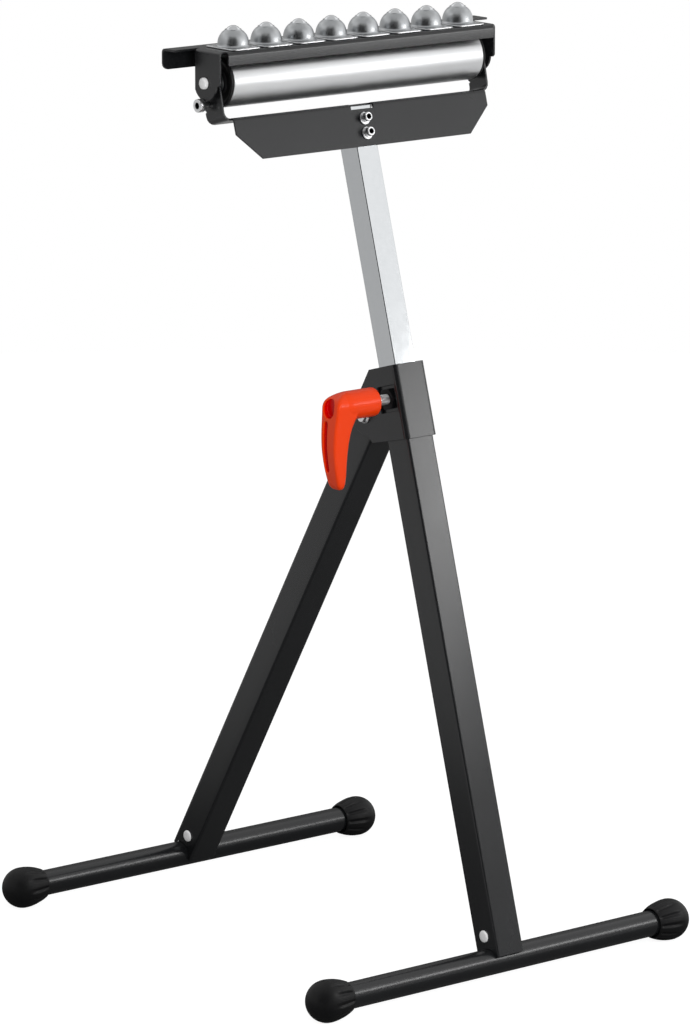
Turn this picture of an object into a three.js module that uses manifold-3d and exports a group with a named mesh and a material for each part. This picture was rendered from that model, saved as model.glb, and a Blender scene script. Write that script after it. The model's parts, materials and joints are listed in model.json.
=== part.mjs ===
// Folding roller stand with a ball-transfer head: a leaning square column and a hinged rear leg
// on two cross feet, a sliding post clamped by a side handle, and a head that carries a plain roller
// under a flip-over ball frame.
// Millimetres, +Z up, X along the roller, the column at the front (-Y),
// origin on the floor midway between the feet.
import * as THREE from "three";
import { mergeVertices } from "three/addons/utils/BufferGeometryUtils.js";
import Module from "manifold-3d";

const wasm = await Module();
wasm.setup();

// Clearances
const SEAT = 0.3; // between pieces that rest on each other
const HOLE_PLAY = 0.4; // radial play of a bolt in its hole
const RUN_PLAY = 0.35; // radial play of a turning fit
const BALL_PLAY = 0.6; // radial play of a ball in its socket

// Fasteners
const BOLT_TAIL = 1.5; // thread past the nut
const SOCKET_SHARE = 0.48; // socket radius, as a share of the shank diameter
const SOCKET_DEPTH = 0.55; // as a share of the head height

// Feet
const FOOT_SPREAD = 478; // front foot axis to rear foot axis
const FOOT_TUBE_D = 25;
const FOOT_TUBE_WALL = 1.5;
const CAP_SPACING = 421; // between the ball centres of the two caps on one foot
const CAP_RADIUS = 20;
const CAP_FLAT = 0.5; // depth of the flat that the cap stands on
const CAP_NECK_RADIUS = 15;
const CAP_NECK_LENGTH = 22.5; // ball centre to the open end
const CAP_SOCKET_DEPTH = 18; // how far the tube goes in
const CAP_MOUTH = 1.2; // lead-in at the open end
const CAP_FLUTES = 12;
const CAP_FLUTE_DEPTH = 1.5;

// Column, leg and post
const COLUMN_SIZE = 31.75; // inch and a quarter tube
const COLUMN_WALL = 1.2;
const COLUMN_LEAN = 16; // degrees back from upright
const COLUMN_TOP = 564; // along the column from the front foot axis
const COLUMN_START = 4;
const LEG_SIZE = 31.75;
const LEG_WALL = 1.5;
const LEG_START = 3;
const TUBE_CORNER = 2.5;
const POST_SIZE = 25.4; // inch tube
const POST_WALL = 1.5;
const POST_LENGTH = 566;
const POST_OUT = 248; // length of post above the column, as set
const POST_CORNER = 1.2;
const BUSH_DEPTH = 45;
const BUSH_FLANGE = 2;

// Foot brackets and their bolts
const BRACKET_SHEET = 2.5;
const FOOT_BRACKET_TOP = 38;
const FOOT_BRACKET_DEPTH = 22;
const FOOT_BOLT_RISE = 24.5; // above the foot axis, along the tube
const FOOT_BOLT_D = 6;
const FOOT_BOLT_HEAD_D = 10.8;
const FOOT_BOLT_HEAD_H = 5;
const FOOT_NUT_FLATS = 10;
const FOOT_NUT_H = 5;

// Hinge bracket and leg pivot
const HINGE_SHEET = 2.5;
const HINGE_PLAY = 0.5; // each side of the leg
const HINGE_BEND = 5;
const HINGE_RISE = 3; // above the column top
const HINGE_FRONT_LENGTH = 71;
const HINGE_HEEL_BACK = 33.5; // lower rear corner, behind the column axis
const HINGE_HEEL_RISE = 2.4; // of that corner above the front edge
const HINGE_ARC_START = -85; // degrees, where the rounded rear edge leaves the heel
const HINGE_MARGIN = 18.8; // from the pivot to the rear edge
const PIVOT_BACK = 37.9; // behind the column axis
const PIVOT_DROP = 39; // below the column top
const PIVOT_D = 8;
const PIVOT_HEAD_FLATS = 13;
const PIVOT_HEAD_H = 5.3;
const PIVOT_NUT_H = 6.5;

// Clamp
const CLAMP_DROP = 27.7; // below the column top
const CLAMP_WINDOW = 25; // square cut-out in the side of the hinge bracket
const CLAMP_NUT_FLATS = 19;
const CLAMP_NUT_H = 4.2;
const STUD_D = 10;
const STUD_IN_HUB = 24;
const HUB_REACH = 20.1; // column side to the near end of the hub
const HUB_LENGTH = 51.5;
const HUB_D = 27.5;
const HUB_ROUND = 3; // near end
const HUB_ELBOW = 20; // length of the rounded far end
const HUB_STEPS = 5; // facets along the rounded far end
// Level sections of the arm: height from the hub axis, outer face and inner face from the far end
// of the hub, half width
const ARM_SECTIONS = [
  [12.4, 11.5, 26, 5],
  [8, 3.3, 27, 10],
  [2, -0.3, 29, 12.6],
  [-8, -1.4, 24, 12.4],
  [-20, -2.7, 18.2, 11.6],
  [-31, -3.2, 15.2, 11.2],
  [-42, -2.9, 13.6, 10.7],
  [-55, -1.2, 12.9, 10],
  [-66, 1.1, 12.7, 9.2],
  [-74, 3.4, 12, 8.2],
  [-78, 6.2, 10.4, 5.4],
];
const ARM_BEVEL = 0.16; // share of the half width, or of half the thickness where that is less
const POCKET_WIDTH = 13;
const POCKET_HEIGHT = 18;
const POCKET_DEPTH = 4.5;
const POCKET_OFFSET = 3; // behind the hub axis
const POCKET_DROP = 1; // below the hub axis
const SLOT_WIDTH = 5.5;
const SLOT_DEPTH = 3;
const SLOT_TOP = 13; // below the hub axis
const SLOT_LENGTH = 49;
const SLOT_OFFSET = 4.2; // behind the middle of the arm

// Cradle: one folded sheet
const CRADLE_SHEET = 2;
const CRADLE_BEND = 8;
const CRADLE_FRONT = 10.5; // floor in front of the column axis
const CRADLE_REAR = 15; // floor behind the column axis
const PLATE_HEIGHT = 39;
const PLATE_INSET = 8.5; // of its top corners from the cheeks
const PLATE_CHAMFER = 26.5; // how far the lower corners are cut in
const PLATE_SHOULDER = 14; // height of the straight ends above the chamfers
const PLATE_BEND = 3.5;
const PLATE_NOTCH_WIDTH = 27;
const PLATE_NOTCH_DEPTH = 6;
const PLATE_NOTCH_DROP = 3.5;
const CRADLE_BOLT_DROPS = [12.5, 26.5]; // below the post top
const CRADLE_BOLT_D = 6;
const CRADLE_BOLT_HEAD_D = 10;
const CRADLE_BOLT_HEAD_H = 6;
const CRADLE_WASHER_D = 12;
const CRADLE_WASHER_H = 1.2;
const CRADLE_NUT_FLATS = 10;
const CRADLE_NUT_H = 5;
const AXLE_RISE = 37.9; // above the underside of the cradle
const AXLE_LOBE = 13;

// Roller
const ROLLER_D = 48;
const ROLLER_LENGTH = 300;
const ROLLER_WALL = 1.5;
const PLUG_FLANGE = 2.7;
const PLUG_SPIGOT = 13;
const PLUG_STEP = 0.4; // rim of the plug inside the roller's outer face
const PLUG_CHAMFER = 0.8;
const PLUG_BORE_PLAY = 1.7; // radial, round the axle
const BEARING_D = 22;
const BEARING_WIDTH = 7;
const AXLE_D = 8;
const AXLE_HEAD_D = 11;
const AXLE_HEAD_H = 6.5;
const AXLE_NUT_FLATS = 13;
const AXLE_NUT_H = 5;
const SPACER_D = 12;
const SPACER_LENGTH = 4.4;

// Ball frame: one folded sheet that turns about the roller axle
const FRAME_SHEET = 2;
const CHEEK_GAP = 4; // between the cheeks of the cradle and of the frame
const FRAME_BEND = 4;
const FRAME_RISE = 30.8; // top face above the axle
const FRAME_FRONT = 27.7; // front lip ahead of the axle
const LIP_DROP = 12.5;
const LIP_INSET = 6.5; // of its ends from the cheeks
const CHEEK_FRONT = 22; // ahead of the axle
const CHEEK_REAR = 15; // behind the axle
const CHEEK_LOBE = 16.6; // radius round the axle
const CHEEK_FRONT_DROP = 1.2; // lower front edge below the axle
const EAR_OVERHANG = 22.5; // of the rear ears past the cheeks
const EAR_RELIEF = 1.5; // slit between a cheek and its ear
const RAIL_REAR = 36; // behind the axle
const RAIL_DROP = 20;
const RAIL_CORNER = 6;

// Lock screws of the ball frame, on the cradle cheeks
const LOCK_BACK = 9.2; // behind the column axis
const LOCK_DROP = 19; // below the axle
const LOCK_D = 6;
const LOCK_HEAD_D = 12;
const LOCK_HEAD_H = 6;
const LOCK_EDGE = 1.5; // sheet left round the head

// Ball transfer units
const BALL_COUNT = 8;
const BALL_END = 30.9; // from the last ball to the end of the frame
const BALL_D = 15.9;
const BALL_ROW = -3; // from the axle, forward is minus
const BALL_TOP = 21; // above the top face of the frame
const DOME_D = 29.4;
const DOME_WALL_H = 4; // straight side
const DOME_HEIGHT = 17.6;
const DOME_STEPS = 4; // facets of the rounded side
const DOME_LIP = 0.6; // flat rim round the socket
const FLANGE_WIDTH = 34; // along the row
const FLANGE_LENGTH = 44;
const FLANGE_CORNER = 5;
const FLANGE_SHEET = 1.2;

// Widths of the head, from the roller outwards
const plugFace = ROLLER_LENGTH / 2 + SEAT + PLUG_FLANGE;
const cradleInside = plugFace + SEAT + SPACER_LENGTH + SEAT;
const cradleWidth = 2 * (cradleInside + CRADLE_SHEET);
const plateTopWidth = cradleWidth - 2 * PLATE_INSET;
const plateBottomWidth = plateTopWidth - 2 * PLATE_CHAMFER;
const frameWidth = cradleWidth + 2 * (CHEEK_GAP + FRAME_SHEET);
const lipWidth = frameWidth - 2 * LIP_INSET;
const earWidth = frameWidth + 2 * EAR_OVERHANG;
const ballPitch = (frameWidth - 2 * BALL_END) / (BALL_COUNT - 1);

// Colours and finishes
const FINISH = {
  blackPaint: { color: 0x26282a, roughness: 0.35, metalness: 0.2 },
  zinc: { color: 0xc9ccd0, roughness: 0.3, metalness: 0.9 },
  polished: { color: 0xd8dadc, roughness: 0.15, metalness: 1 },
  blackPlastic: { color: 0x1b1b1c, roughness: 0.6, metalness: 0 },
  orangePlastic: { color: 0xec5a2c, roughness: 0.4, metalness: 0 },
  ballSteel: { color: 0xe2e4e6, roughness: 0.08, metalness: 1 },
};

const radians = THREE.MathUtils.degToRad;
const AXIS_X = new THREE.Vector3(1, 0, 0);
const AXIS_Y = new THREE.Vector3(0, 1, 0);
const AXIS_Z = new THREE.Vector3(0, 0, 1);

// Solids: joining and cutting closed meshes
function solid(geometry) {
  const bare = geometry.index ? geometry.toNonIndexed() : geometry.clone();
  bare.deleteAttribute("normal");
  bare.deleteAttribute("uv");
  const merged = mergeVertices(bare, 1e-4);
  const corners = merged.index.array;
  const kept = [];
  for (let i = 0; i < corners.length; i += 3) {
    const [a, b, c] = [corners[i], corners[i + 1], corners[i + 2]];
    if (a !== b && b !== c && c !== a) kept.push(a, b, c);
  }
  const vertProperties = merged.attributes.position.array;
  const made = new wasm.Manifold(
    new wasm.Mesh({ numProp: 3, vertProperties, triVerts: new Uint32Array(kept) }),
  );
  if (made.volume() > 0) return made;
  const turned = new Uint32Array(kept.reverse());
  return new wasm.Manifold(new wasm.Mesh({ numProp: 3, vertProperties, triVerts: turned }));
}

function geometryOf(made) {
  const mesh = made.getMesh();
  const geometry = new THREE.BufferGeometry();
  geometry.setAttribute("position", new THREE.BufferAttribute(mesh.vertProperties, 3));
  geometry.setIndex(new THREE.BufferAttribute(mesh.triVerts, 1));
  return geometry;
}

const cut = (base, ...tools) => geometryOf(tools.reduce((s, t) => s.subtract(solid(t)), solid(base)));
const join = (base, ...more) => geometryOf(more.reduce((s, t) => s.add(solid(t)), solid(base)));
const common = (a, b) => geometryOf(solid(a).intersect(solid(b)));

// Outlines
function outline(points) {
  return new THREE.Shape(points.map(([a, b]) => new THREE.Vector2(a, b)));
}

function roundedRect(width, height, radius) {
  const [w, h] = [width / 2 - radius, height / 2 - radius];
  const shape = new THREE.Shape();
  shape.absarc(w, h, radius, 0, Math.PI / 2);
  shape.absarc(-w, h, radius, Math.PI / 2, Math.PI);
  shape.absarc(-w, -h, radius, Math.PI, 1.5 * Math.PI);
  shape.absarc(w, -h, radius, 1.5 * Math.PI, 2 * Math.PI);
  return shape;
}

function circle(radius) {
  return new THREE.Shape().absarc(0, 0, radius, 0, 2 * Math.PI);
}

function ring(outer, inner) {
  const shape = circle(outer);
  shape.holes.push(circle(inner));
  return shape;
}

function hexagon(flats) {
  const radius = flats / Math.sqrt(3);
  const corners = [0, 1, 2, 3, 4, 5].map((i) => (i * Math.PI) / 3);
  return outline(corners.map((a) => [radius * Math.cos(a), radius * Math.sin(a)]));
}

// Prisms from outlines: along Z from (x, y), along X from (y, z), along Y from (x, z)
// (facets is the number of flats on each arc of the outline, an even number)
function prismZ(shape, from, to, facets = 4) {
  const options = { depth: to - from, bevelEnabled: false, curveSegments: facets / 2 };
  return new THREE.ExtrudeGeometry(shape, options).translate(0, 0, from);
}

function prismX(shape, from, to, facets = 4) {
  const turn = new THREE.Matrix4().makeBasis(AXIS_Y, AXIS_Z, AXIS_X);
  return prismZ(shape, from, to, facets).applyMatrix4(turn);
}

function prismY(shape, from, to, facets = 4) {
  const turn = new THREE.Matrix4().makeBasis(AXIS_X, AXIS_Z, AXIS_Y.clone().negate());
  return prismZ(shape, -to, -from, facets).applyMatrix4(turn);
}

function rodX(radius, from, to, y = 0, z = 0, sides = 12) {
  return prismX(circle(radius), from, to, sides).translate(0, y, z);
}

function rodY(radius, from, to, x = 0, z = 0, sides = 12) {
  return prismY(circle(radius), from, to, sides).translate(x, 0, z);
}

function box(x0, x1, y0, y1, z0, z1) {
  const made = new THREE.BoxGeometry(x1 - x0, y1 - y0, z1 - z0);
  return made.translate((x0 + x1) / 2, (y0 + y1) / 2, (z0 + z1) / 2);
}

// A turned piece: points are [radius, distance along X]
function turnedX(points, sides = 12) {
  const profile = points.map(([radius, along]) => new THREE.Vector2(radius, along));
  return geometryOf(solid(new THREE.LatheGeometry(profile, sides).rotateZ(-Math.PI / 2)));
}

function squareTube(size, wall, corner, from, to) {
  const shape = roundedRect(size, size, corner);
  const bore = size - 2 * wall;
  shape.holes.push(roundedRect(bore, bore, Math.max(corner - wall, 0.6)));
  return prismZ(shape, from, to, 2);
}

// A sheet folded to a U: a floor at z 0 to the sheet thickness, walls up to the given height
// (bend is the outer radius)
function foldedU(width, height, sheet, bend) {
  const [w, inner] = [width / 2, bend - sheet];
  const shape = new THREE.Shape();
  shape.moveTo(-w, height);
  shape.lineTo(-w, bend);
  shape.absarc(-w + bend, bend, bend, Math.PI, 1.5 * Math.PI);
  shape.absarc(w - bend, bend, bend, 1.5 * Math.PI, 2 * Math.PI);
  shape.lineTo(w, height);
  shape.lineTo(w - sheet, height);
  shape.absarc(w - bend, bend, inner, 0, -Math.PI / 2, true);
  shape.absarc(-w + bend, bend, inner, 1.5 * Math.PI, Math.PI, true);
  shape.lineTo(-w + sheet, height);
  return shape;
}

// A sheet folded to an L: a top leg from the far end to the corner, then down
// (the corner at the origin, the outer faces on the axes)
function foldedL(across, down, sheet, bend) {
  const shape = new THREE.Shape();
  shape.moveTo(across, 0);
  shape.lineTo(across, -sheet);
  shape.absarc(bend, -bend, bend - sheet, Math.PI / 2, Math.PI);
  shape.lineTo(sheet, -down);
  shape.lineTo(0, -down);
  shape.absarc(bend, -bend, bend, Math.PI, Math.PI / 2, true);
  return shape;
}

// Frames: the column leans about the front foot axis, the leg about the rear one
const root = new THREE.Group();
const footHeight = CAP_RADIUS - CAP_FLAT;
const frontFoot = new THREE.Group();
frontFoot.position.set(0, -FOOT_SPREAD / 2, footHeight);
const rearFoot = new THREE.Group();
rearFoot.position.set(0, FOOT_SPREAD / 2, footHeight);
const column = new THREE.Group();
column.position.copy(frontFoot.position);
column.rotation.x = -radians(COLUMN_LEAN);
root.add(frontFoot, rearFoot, column);
column.updateMatrixWorld(true);

// The leg runs from the rear foot axis to the pivot behind the column
const pivotAt = new THREE.Vector3(0, PIVOT_BACK, COLUMN_TOP - PIVOT_DROP);
const pivotWorld = pivotAt.clone().applyMatrix4(column.matrixWorld);
const legLine = pivotWorld.clone().sub(rearFoot.position);
const legLength = legLine.length();
const legLean = Math.atan2(-legLine.y, legLine.z);
const leg = new THREE.Group();
leg.position.copy(rearFoot.position);
leg.rotation.x = legLean;
root.add(leg);
leg.updateMatrixWorld(true);

// The axle sits on the column axis above the cradle floor
const postTop = COLUMN_TOP + POST_OUT;
const cradleFloor = postTop + SEAT;
const axleAlong = cradleFloor + AXLE_RISE;
const head = new THREE.Group();
head.position.set(0, 0, axleAlong).applyMatrix4(column.matrixWorld);
root.add(head);

function add(group, name, finish, geometry) {
  const material = new THREE.MeshStandardMaterial(FINISH[finish]);
  geometry.computeVertexNormals();
  const mesh = new THREE.Mesh(geometry, material);
  mesh.name = name;
  group.add(mesh);
  return mesh;
}

// Fasteners along X, with the head's seat at x = 0 and the shank towards +X
function roundHeadBolt(shankD, headD, headH, length) {
  const [r, h] = [shankD / 2, headD / 2];
  const angles = [0, 1, 2, 3].map((i) => (i * Math.PI) / 6);
  const dome = angles.map((angle) => [h * Math.sin(angle), -headH * Math.cos(angle)]);
  return turnedX([...dome, [r, 0], [r, length], [0, length]]);
}

function socketBolt(shankD, headD, headH, length) {
  const [r, h, socket] = [shankD / 2, headD / 2, shankD * SOCKET_SHARE];
  const depth = headH * SOCKET_DEPTH;
  const profile = [
    [0, depth - headH],
    [socket, depth - headH],
    [socket, -headH],
    [h, -headH],
    [h, 0],
    [r, 0],
    [r, length],
    [0, length],
  ];
  return turnedX(profile);
}

function hexBolt(shankD, flats, headH, length) {
  return join(prismX(hexagon(flats), -headH, 0), rodX(shankD / 2, -headH / 2, length));
}

function nut(boreD, flats, height) {
  const shape = hexagon(flats);
  shape.holes.push(circle(boreD / 2));
  return prismX(shape, 0, height, 12);
}

// Foot caps: a ball end whose neck has flutes that fade out at the ball
function capSkin() {
  const poleSteps = 4;
  const neckSteps = 3;
  const profile = [];
  for (let i = 0; i <= poleSteps; i++) {
    const angle = (i / poleSteps) * (Math.PI / 2);
    profile.push(new THREE.Vector2(CAP_RADIUS * Math.sin(angle), CAP_RADIUS * Math.cos(angle)));
  }
  for (let i = 1; i <= neckSteps; i++) {
    const t = i / neckSteps;
    const radius = CAP_RADIUS + (CAP_NECK_RADIUS - CAP_RADIUS) * t * t;
    profile.push(new THREE.Vector2(radius, -CAP_NECK_LENGTH * t));
  }
  const socket = FOOT_TUBE_D / 2 + SEAT;
  const socketEnd = CAP_SOCKET_DEPTH - CAP_NECK_LENGTH;
  profile.push(new THREE.Vector2(socket + CAP_MOUTH, -CAP_NECK_LENGTH));
  profile.push(new THREE.Vector2(socket, -CAP_NECK_LENGTH + 2 * CAP_MOUTH));
  profile.push(new THREE.Vector2(socket, socketEnd));
  profile.push(new THREE.Vector2(0, socketEnd));
  return new THREE.LatheGeometry(profile, 3 * CAP_FLUTES);
}

function footCap(side) {
  const skin = capSkin();
  const place = skin.getAttribute("position");
  const tubeMouth = FOOT_TUBE_D / 2 + SEAT + CAP_MOUTH;
  for (let i = 0; i < place.count; i++) {
    const [x, y, z] = [place.getX(i), place.getY(i), place.getZ(i)];
    const radius = Math.hypot(x, z);
    if (y > -1 || radius < (tubeMouth + CAP_NECK_RADIUS) / 2) continue;
    const wave = (1 + Math.cos(CAP_FLUTES * Math.atan2(z, x))) / 2;
    const fade = Math.sin((-y / CAP_NECK_LENGTH) * Math.PI);
    const scale = 1 - (CAP_FLUTE_DEPTH * fade * wave) / radius;
    place.setXYZ(i, x * scale, y, z * scale);
  }
  skin.rotateZ(-Math.PI / 2);
  const floor = -CAP_RADIUS + CAP_FLAT;
  const big = 2 * CAP_RADIUS + CAP_NECK_LENGTH;
  const made = cut(skin, box(-big, big, -big, big, floor - big, floor));
  if (side < 0) made.rotateZ(Math.PI);
  return made.translate((side * CAP_SPACING) / 2, 0, 0);
}

function addFoot(group, name) {
  const reach = CAP_SPACING / 2 + CAP_SOCKET_DEPTH - CAP_NECK_LENGTH - SEAT;
  const tube = prismX(ring(FOOT_TUBE_D / 2, FOOT_TUBE_D / 2 - FOOT_TUBE_WALL), -reach, reach, 20);
  add(group, `${name}_foot_tube`, "blackPaint", tube);
  add(group, `${name}_foot_cap_left`, "blackPlastic", footCap(-1));
  add(group, `${name}_foot_cap_right`, "blackPlastic", footCap(1));
}

// A U bracket on top of the foot tube, inside the upright, bolted through it from the left
function addFootJoint(group, name, size, wall) {
  const saddle = rodX(FOOT_TUBE_D / 2 + SEAT, -size, size, 0, 0, 20);
  const boltHole = rodX(FOOT_BOLT_D / 2 + HOLE_PLAY, -size, size, 0, FOOT_BOLT_RISE);
  const width = size - 2 * wall - 2 * SEAT;
  const base = FOOT_TUBE_D / 2 - 2;
  const channel = foldedU(width, FOOT_BRACKET_TOP - base, BRACKET_SHEET, BRACKET_SHEET + 1);
  const bent = prismY(channel, -FOOT_BRACKET_DEPTH / 2, FOOT_BRACKET_DEPTH / 2, 4).translate(0, 0, base);
  add(group, `${name}_foot_bracket`, "blackPaint", cut(bent, saddle, boltHole));
  const grip = size + 2 * SEAT;
  const length = grip + FOOT_NUT_H + BOLT_TAIL;
  const bolt = roundHeadBolt(FOOT_BOLT_D, FOOT_BOLT_HEAD_D, FOOT_BOLT_HEAD_H, length);
  add(group, `${name}_foot_bolt`, "zinc", bolt).position.set(-grip / 2, 0, FOOT_BOLT_RISE);
  const boltNut = nut(FOOT_BOLT_D + 2 * SEAT, FOOT_NUT_FLATS, FOOT_NUT_H);
  add(group, `${name}_foot_nut`, "zinc", boltNut).position.set(grip / 2, 0, FOOT_BOLT_RISE);
  return [saddle, boltHole];
}

function addColumn() {
  const footCuts = addFootJoint(column, "front", COLUMN_SIZE, COLUMN_WALL);
  const tube = squareTube(COLUMN_SIZE, COLUMN_WALL, TUBE_CORNER, COLUMN_START, COLUMN_TOP);
  const clampHole = rodX(STUD_D / 2 + HOLE_PLAY, -COLUMN_SIZE, 0, 0, COLUMN_TOP - CLAMP_DROP);
  add(column, "column_tube", "blackPaint", cut(tube, ...footCuts, clampHole));
  const bore = COLUMN_SIZE - 2 * COLUMN_WALL;
  const sleeveWall = (bore - POST_SIZE) / 2 - 2 * SEAT;
  const sleeveStart = COLUMN_TOP - BUSH_DEPTH;
  const sleeve = squareTube(bore - 2 * SEAT, sleeveWall, TUBE_CORNER, sleeveStart, COLUMN_TOP + 1);
  const flangeWall = (COLUMN_SIZE - POST_SIZE) / 2 - SEAT;
  const flangeBase = COLUMN_TOP + SEAT;
  const flange = squareTube(COLUMN_SIZE, flangeWall, TUBE_CORNER, flangeBase, flangeBase + BUSH_FLANGE);
  add(column, "column_bush", "blackPlastic", cut(join(sleeve, flange), clampHole));
}

// Upper edge of the leg: mitred to lie against the back of the column when the leg is open
function addLeg() {
  const footCuts = addFootJoint(leg, "rear", LEG_SIZE, LEG_WALL);
  const tube = squareTube(LEG_SIZE, LEG_WALL, TUBE_CORNER, LEG_START, legLength + 3 * LEG_SIZE);
  const reach = 6 * LEG_SIZE;
  const columnBack = COLUMN_SIZE / 2 + SEAT;
  const [low, high] = [pivotAt.z - reach, pivotAt.z + reach];
  const mitre = box(-LEG_SIZE, LEG_SIZE, columnBack - reach, columnBack, low, high);
  const toLeg = new THREE.Matrix4().copy(leg.matrixWorld).invert().multiply(column.matrixWorld);
  mitre.applyMatrix4(toLeg);
  const pivotHole = rodX(PIVOT_D / 2 + HOLE_PLAY, -LEG_SIZE, LEG_SIZE, 0, legLength);
  add(leg, "rear_leg", "blackPaint", cut(tube, ...footCuts, mitre, pivotHole));
}

// Folded U round the column: a front web and two cheeks that carry the leg pivot
function addHinge() {
  const inside = Math.max(COLUMN_SIZE, LEG_SIZE) + 2 * HINGE_PLAY;
  const width = inside + 2 * HINGE_SHEET;
  const front = -COLUMN_SIZE / 2 - SEAT - HINGE_SHEET;
  const top = COLUMN_TOP + HINGE_RISE;
  const bottom = top - HINGE_FRONT_LENGTH;
  const lean = legLean + radians(COLUMN_LEAN);
  const slope = PIVOT_BACK + HINGE_MARGIN * Math.cos(lean);
  const run = (top - pivotAt.z - HINGE_MARGIN * Math.sin(lean)) / Math.cos(lean);
  const side = new THREE.Shape();
  side.moveTo(front, top);
  side.lineTo(front, bottom);
  side.lineTo(HINGE_HEEL_BACK, bottom + HINGE_HEEL_RISE);
  side.absarc(PIVOT_BACK, pivotAt.z, HINGE_MARGIN, radians(HINGE_ARC_START), lean);
  side.lineTo(slope - run * Math.sin(lean), top);
  const depth = PIVOT_BACK + HINGE_MARGIN - front + 1;
  const section = foldedU(width, depth, HINGE_SHEET, HINGE_BEND);
  const web = prismZ(section, bottom - 1, top + 1, 4).translate(0, front, 0);
  const bent = common(web, prismX(side, -width, width, 10));
  const clampAt = COLUMN_TOP - CLAMP_DROP;
  const half = CLAMP_WINDOW / 2;
  const window = box(-width, 0, -half, half, clampAt - half, clampAt + half);
  const pivotHole = rodX(PIVOT_D / 2 + HOLE_PLAY, -width, width, PIVOT_BACK, pivotAt.z);
  add(column, "hinge_bracket", "blackPaint", cut(bent, window, pivotHole));

  const grip = width + 2 * SEAT;
  const bolt = hexBolt(PIVOT_D, PIVOT_HEAD_FLATS, PIVOT_HEAD_H, grip + PIVOT_NUT_H + BOLT_TAIL);
  add(column, "leg_pivot_bolt", "zinc", bolt).position.set(-grip / 2, pivotAt.y, pivotAt.z);
  const boltNut = nut(PIVOT_D + 2 * SEAT, PIVOT_HEAD_FLATS, PIVOT_NUT_H);
  add(column, "leg_pivot_nut", "zinc", boltNut).position.set(grip / 2, pivotAt.y, pivotAt.z);
}

// Arm of the clamp handle: a skin over its level sections, each a rectangle with cut corners
function handleArm(far) {
  const points = [];
  for (const [z, outer, inner, half] of ARM_SECTIONS) {
    const bevel = ARM_BEVEL * Math.min(half, (inner - outer) / 2);
    const [x0, x1, y] = [far + outer, far + inner, half - bevel];
    points.push([x0, y, z], [x0 + bevel, half, z], [x1 - bevel, half, z], [x1, y, z]);
    points.push([x1, -y, z], [x1 - bevel, -half, z], [x0 + bevel, -half, z], [x0, -y, z]);
  }
  const corners = 8;
  const last = points.length - corners;
  const faces = [];
  for (let i = 0; i < last; i++) {
    const next = i % corners === corners - 1 ? i + 1 - corners : i + 1;
    faces.push(i, i + corners, next, next, i + corners, next + corners);
  }
  for (let i = 1; i < corners - 1; i++) {
    faces.push(0, i, i + 1, last, last + i + 1, last + i);
  }
  const arm = new THREE.BufferGeometry();
  arm.setAttribute("position", new THREE.Float32BufferAttribute(points.flat(), 3));
  arm.setIndex(faces);
  return geometryOf(solid(arm));
}

// Hub of the handle: turned, with a rounded far end and a blind bore for the stud
function handleHub(near, far) {
  const radius = HUB_D / 2;
  const profile = [];
  for (let i = 0; i <= HUB_STEPS; i++) {
    const angle = (i / HUB_STEPS) * (Math.PI / 2);
    profile.push([radius * Math.sin(angle), far + HUB_ELBOW * (1 - Math.cos(angle))]);
  }
  profile.push([radius, near - HUB_ROUND], [radius - HUB_ROUND, near]);
  profile.push([STUD_D / 2 + SEAT, near], [STUD_D / 2 + SEAT, near - STUD_IN_HUB], [0, near - STUD_IN_HUB]);
  return turnedX(profile, 14);
}

// Clamp: a nut welded to the column, a stud that presses on the post, and a moulded L handle
function addClamp() {
  const clamp = new THREE.Group();
  clamp.position.set(-COLUMN_SIZE / 2, 0, COLUMN_TOP - CLAMP_DROP);
  column.add(clamp);
  const weldNut = nut(STUD_D + 2 * HOLE_PLAY, CLAMP_NUT_FLATS, CLAMP_NUT_H);
  add(clamp, "clamp_nut", "blackPaint", weldNut).position.set(-SEAT - CLAMP_NUT_H, 0, 0);
  const studFrom = -HUB_REACH - STUD_IN_HUB + SEAT;
  const studTo = (COLUMN_SIZE - POST_SIZE) / 2 - SEAT;
  add(clamp, "clamp_stud", "zinc", rodX(STUD_D / 2, studFrom, studTo, 0, 0, 12));

  const [near, far] = [-HUB_REACH, -HUB_REACH - HUB_LENGTH];
  const arm = cut(handleArm(far), rodX(STUD_D, near - STUD_IN_HUB, near + 1));
  const pocketShape = roundedRect(POCKET_WIDTH, POCKET_HEIGHT, POCKET_WIDTH / 2 - 0.1);
  const pocket = prismX(pocketShape, far - HUB_D, far + POCKET_DEPTH, 4);
  pocket.translate(0, POCKET_OFFSET, -POCKET_DROP);
  const slotShape = roundedRect(SLOT_WIDTH, SLOT_LENGTH, SLOT_WIDTH / 2 - 0.1);
  const slot = prismX(slotShape, far - HUB_D, far + HUB_D / 2, 4);
  slot.translate(0, SLOT_OFFSET, -SLOT_TOP - SLOT_LENGTH / 2);
  const slotFloor = arm.clone().translate(SLOT_DEPTH, 0, 0);
  const made = cut(join(handleHub(near, far), arm), pocket, cut(slot, slotFloor));
  const handle = add(clamp, "clamp_handle", "orangePlastic", made);
  handle.rotation.x = radians(COLUMN_LEAN);
}

function addPost() {
  const tube = squareTube(POST_SIZE, POST_WALL, POST_CORNER, postTop - POST_LENGTH, postTop);
  const holes = CRADLE_BOLT_DROPS.map((drop) =>
    rodY(CRADLE_BOLT_D / 2 + HOLE_PLAY, -POST_SIZE, POST_SIZE, 0, postTop - drop),
  );
  add(column, "post_tube", "zinc", cut(tube, ...holes));
}

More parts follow.
